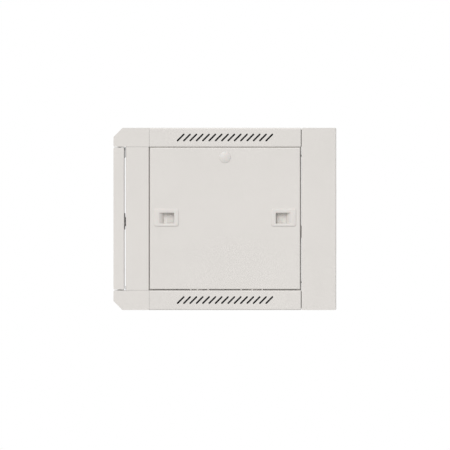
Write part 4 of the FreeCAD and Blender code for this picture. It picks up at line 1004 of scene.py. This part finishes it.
# The view of the right side: its middle, its width, and how far it is turned and dipped.
VIEW_Y = -0.2245
VIEW_Z = -0.0121
VIEW_WIDTH = 0.9098
VIEW_TURN = math.radians(0.045)
VIEW_DIP = math.radians(0.04)
# How far the camera stands from the cabinet's side, and how far it sees.
STAND_OFF = 3.0
FARTHEST = 60

side_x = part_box("top_cover")[1].x
camera_data = bpy.data.cameras.new("camera")
camera_data.type = "ORTHO"
camera_data.ortho_scale = VIEW_WIDTH
camera_data.clip_end = FARTHEST
camera = bpy.data.objects.new("camera", camera_data)
sight = Vector((-1, -math.tan(VIEW_TURN), -math.tan(VIEW_DIP)))
camera.location = Vector((side_x, VIEW_Y, VIEW_Z)) - STAND_OFF * sight
camera.rotation_euler = sight.to_track_quat("-Z", "Y").to_euler()
bpy.context.scene.collection.objects.link(camera)
bpy.context.scene.camera = camera


def soft_sun(name, toward, spread, strength):
    """A distant soft light: the direction towards it, its spread in degrees and its strength."""
    data = bpy.data.lights.new(name, "SUN")
    data.angle = math.radians(spread)
    data.energy = strength
    light = bpy.data.objects.new(name, data)
    light.rotation_euler = Vector(toward).to_track_quat("Z", "Y").to_euler()
    bpy.context.scene.collection.objects.link(light)


soft_sun("key_light", toward=(0.78, -0.26, 0.54), spread=34, strength=1.635)
soft_sun("fill_light", toward=(-0.55, -0.65, 0.5), spread=60, strength=0.85)
soft_sun("back_light", toward=(-0.3, 0.8, 0.55), spread=60, strength=0.7)

# The world's glow grows from low to high between two sines of the height. The camera itself
# sees plain white.
GLOW_LOW, GLOW_HIGH = 0.19, 0.62
GLOW_FROM, GLOW_TO = -0.3, 0.6
SEEN_GLOW = 1.0

world = bpy.data.worlds.new("world")
bpy.context.scene.world = world
world.use_nodes = True
sky = world.node_tree
background = sky.nodes["Background"]
background.inputs["Color"].default_value = (1, 1, 1, 1)
direction = add(sky, "ShaderNodeTexCoord").outputs["Generated"]
height = add(sky, "ShaderNodeSeparateXYZ", Vector=direction).outputs["Z"]
glow = ranged(sky, height, GLOW_LOW, GLOW_HIGH, GLOW_FROM, GLOW_TO)
seen = add(sky, "ShaderNodeLightPath").outputs["Is Camera Ray"]
shown = add(sky, "ShaderNodeMix", Factor=seen, A=glow, B=SEEN_GLOW)
sky.links.new(shown.outputs["Result"], background.inputs["Strength"])

FLOOR_Z = -0.75
FLOOR_HALF = 12.0
FLOOR_DARK = (0.55, 0.55, 0.55)
FLOOR_LIGHT = (0.58, 0.58, 0.575)
FLOOR_ROUGHNESS = 0.7

floor_corners = [
    (FLOOR_HALF * x, FLOOR_HALF * y, FLOOR_Z) for x, y in ((-1, -1), (1, -1), (1, 1), (-1, 1))
]
floor_mesh = bpy.data.meshes.new("floor")
floor_mesh.from_pydata(floor_corners, [], [(0, 1, 2, 3)])
floor = bpy.data.objects.new("floor", floor_mesh)
bpy.context.scene.collection.objects.link(floor)
floor_material, floor_tree, floor_shader = new_material("pale_floor")
floor_clouds = ranged(floor_tree, noise(floor_tree, per_metre=3, detail=3), 0, 1)
floor_tone = blend(floor_tree, floor_clouds, FLOOR_DARK, FLOOR_LIGHT)
floor_tree.links.new(floor_tone, floor_shader.inputs["Base Color"])
floor_shader.inputs["Roughness"].default_value = FLOOR_ROUGHNESS
floor_mesh.materials.append(floor_material)

bpy.context.scene.view_settings.view_transform = "Standard"
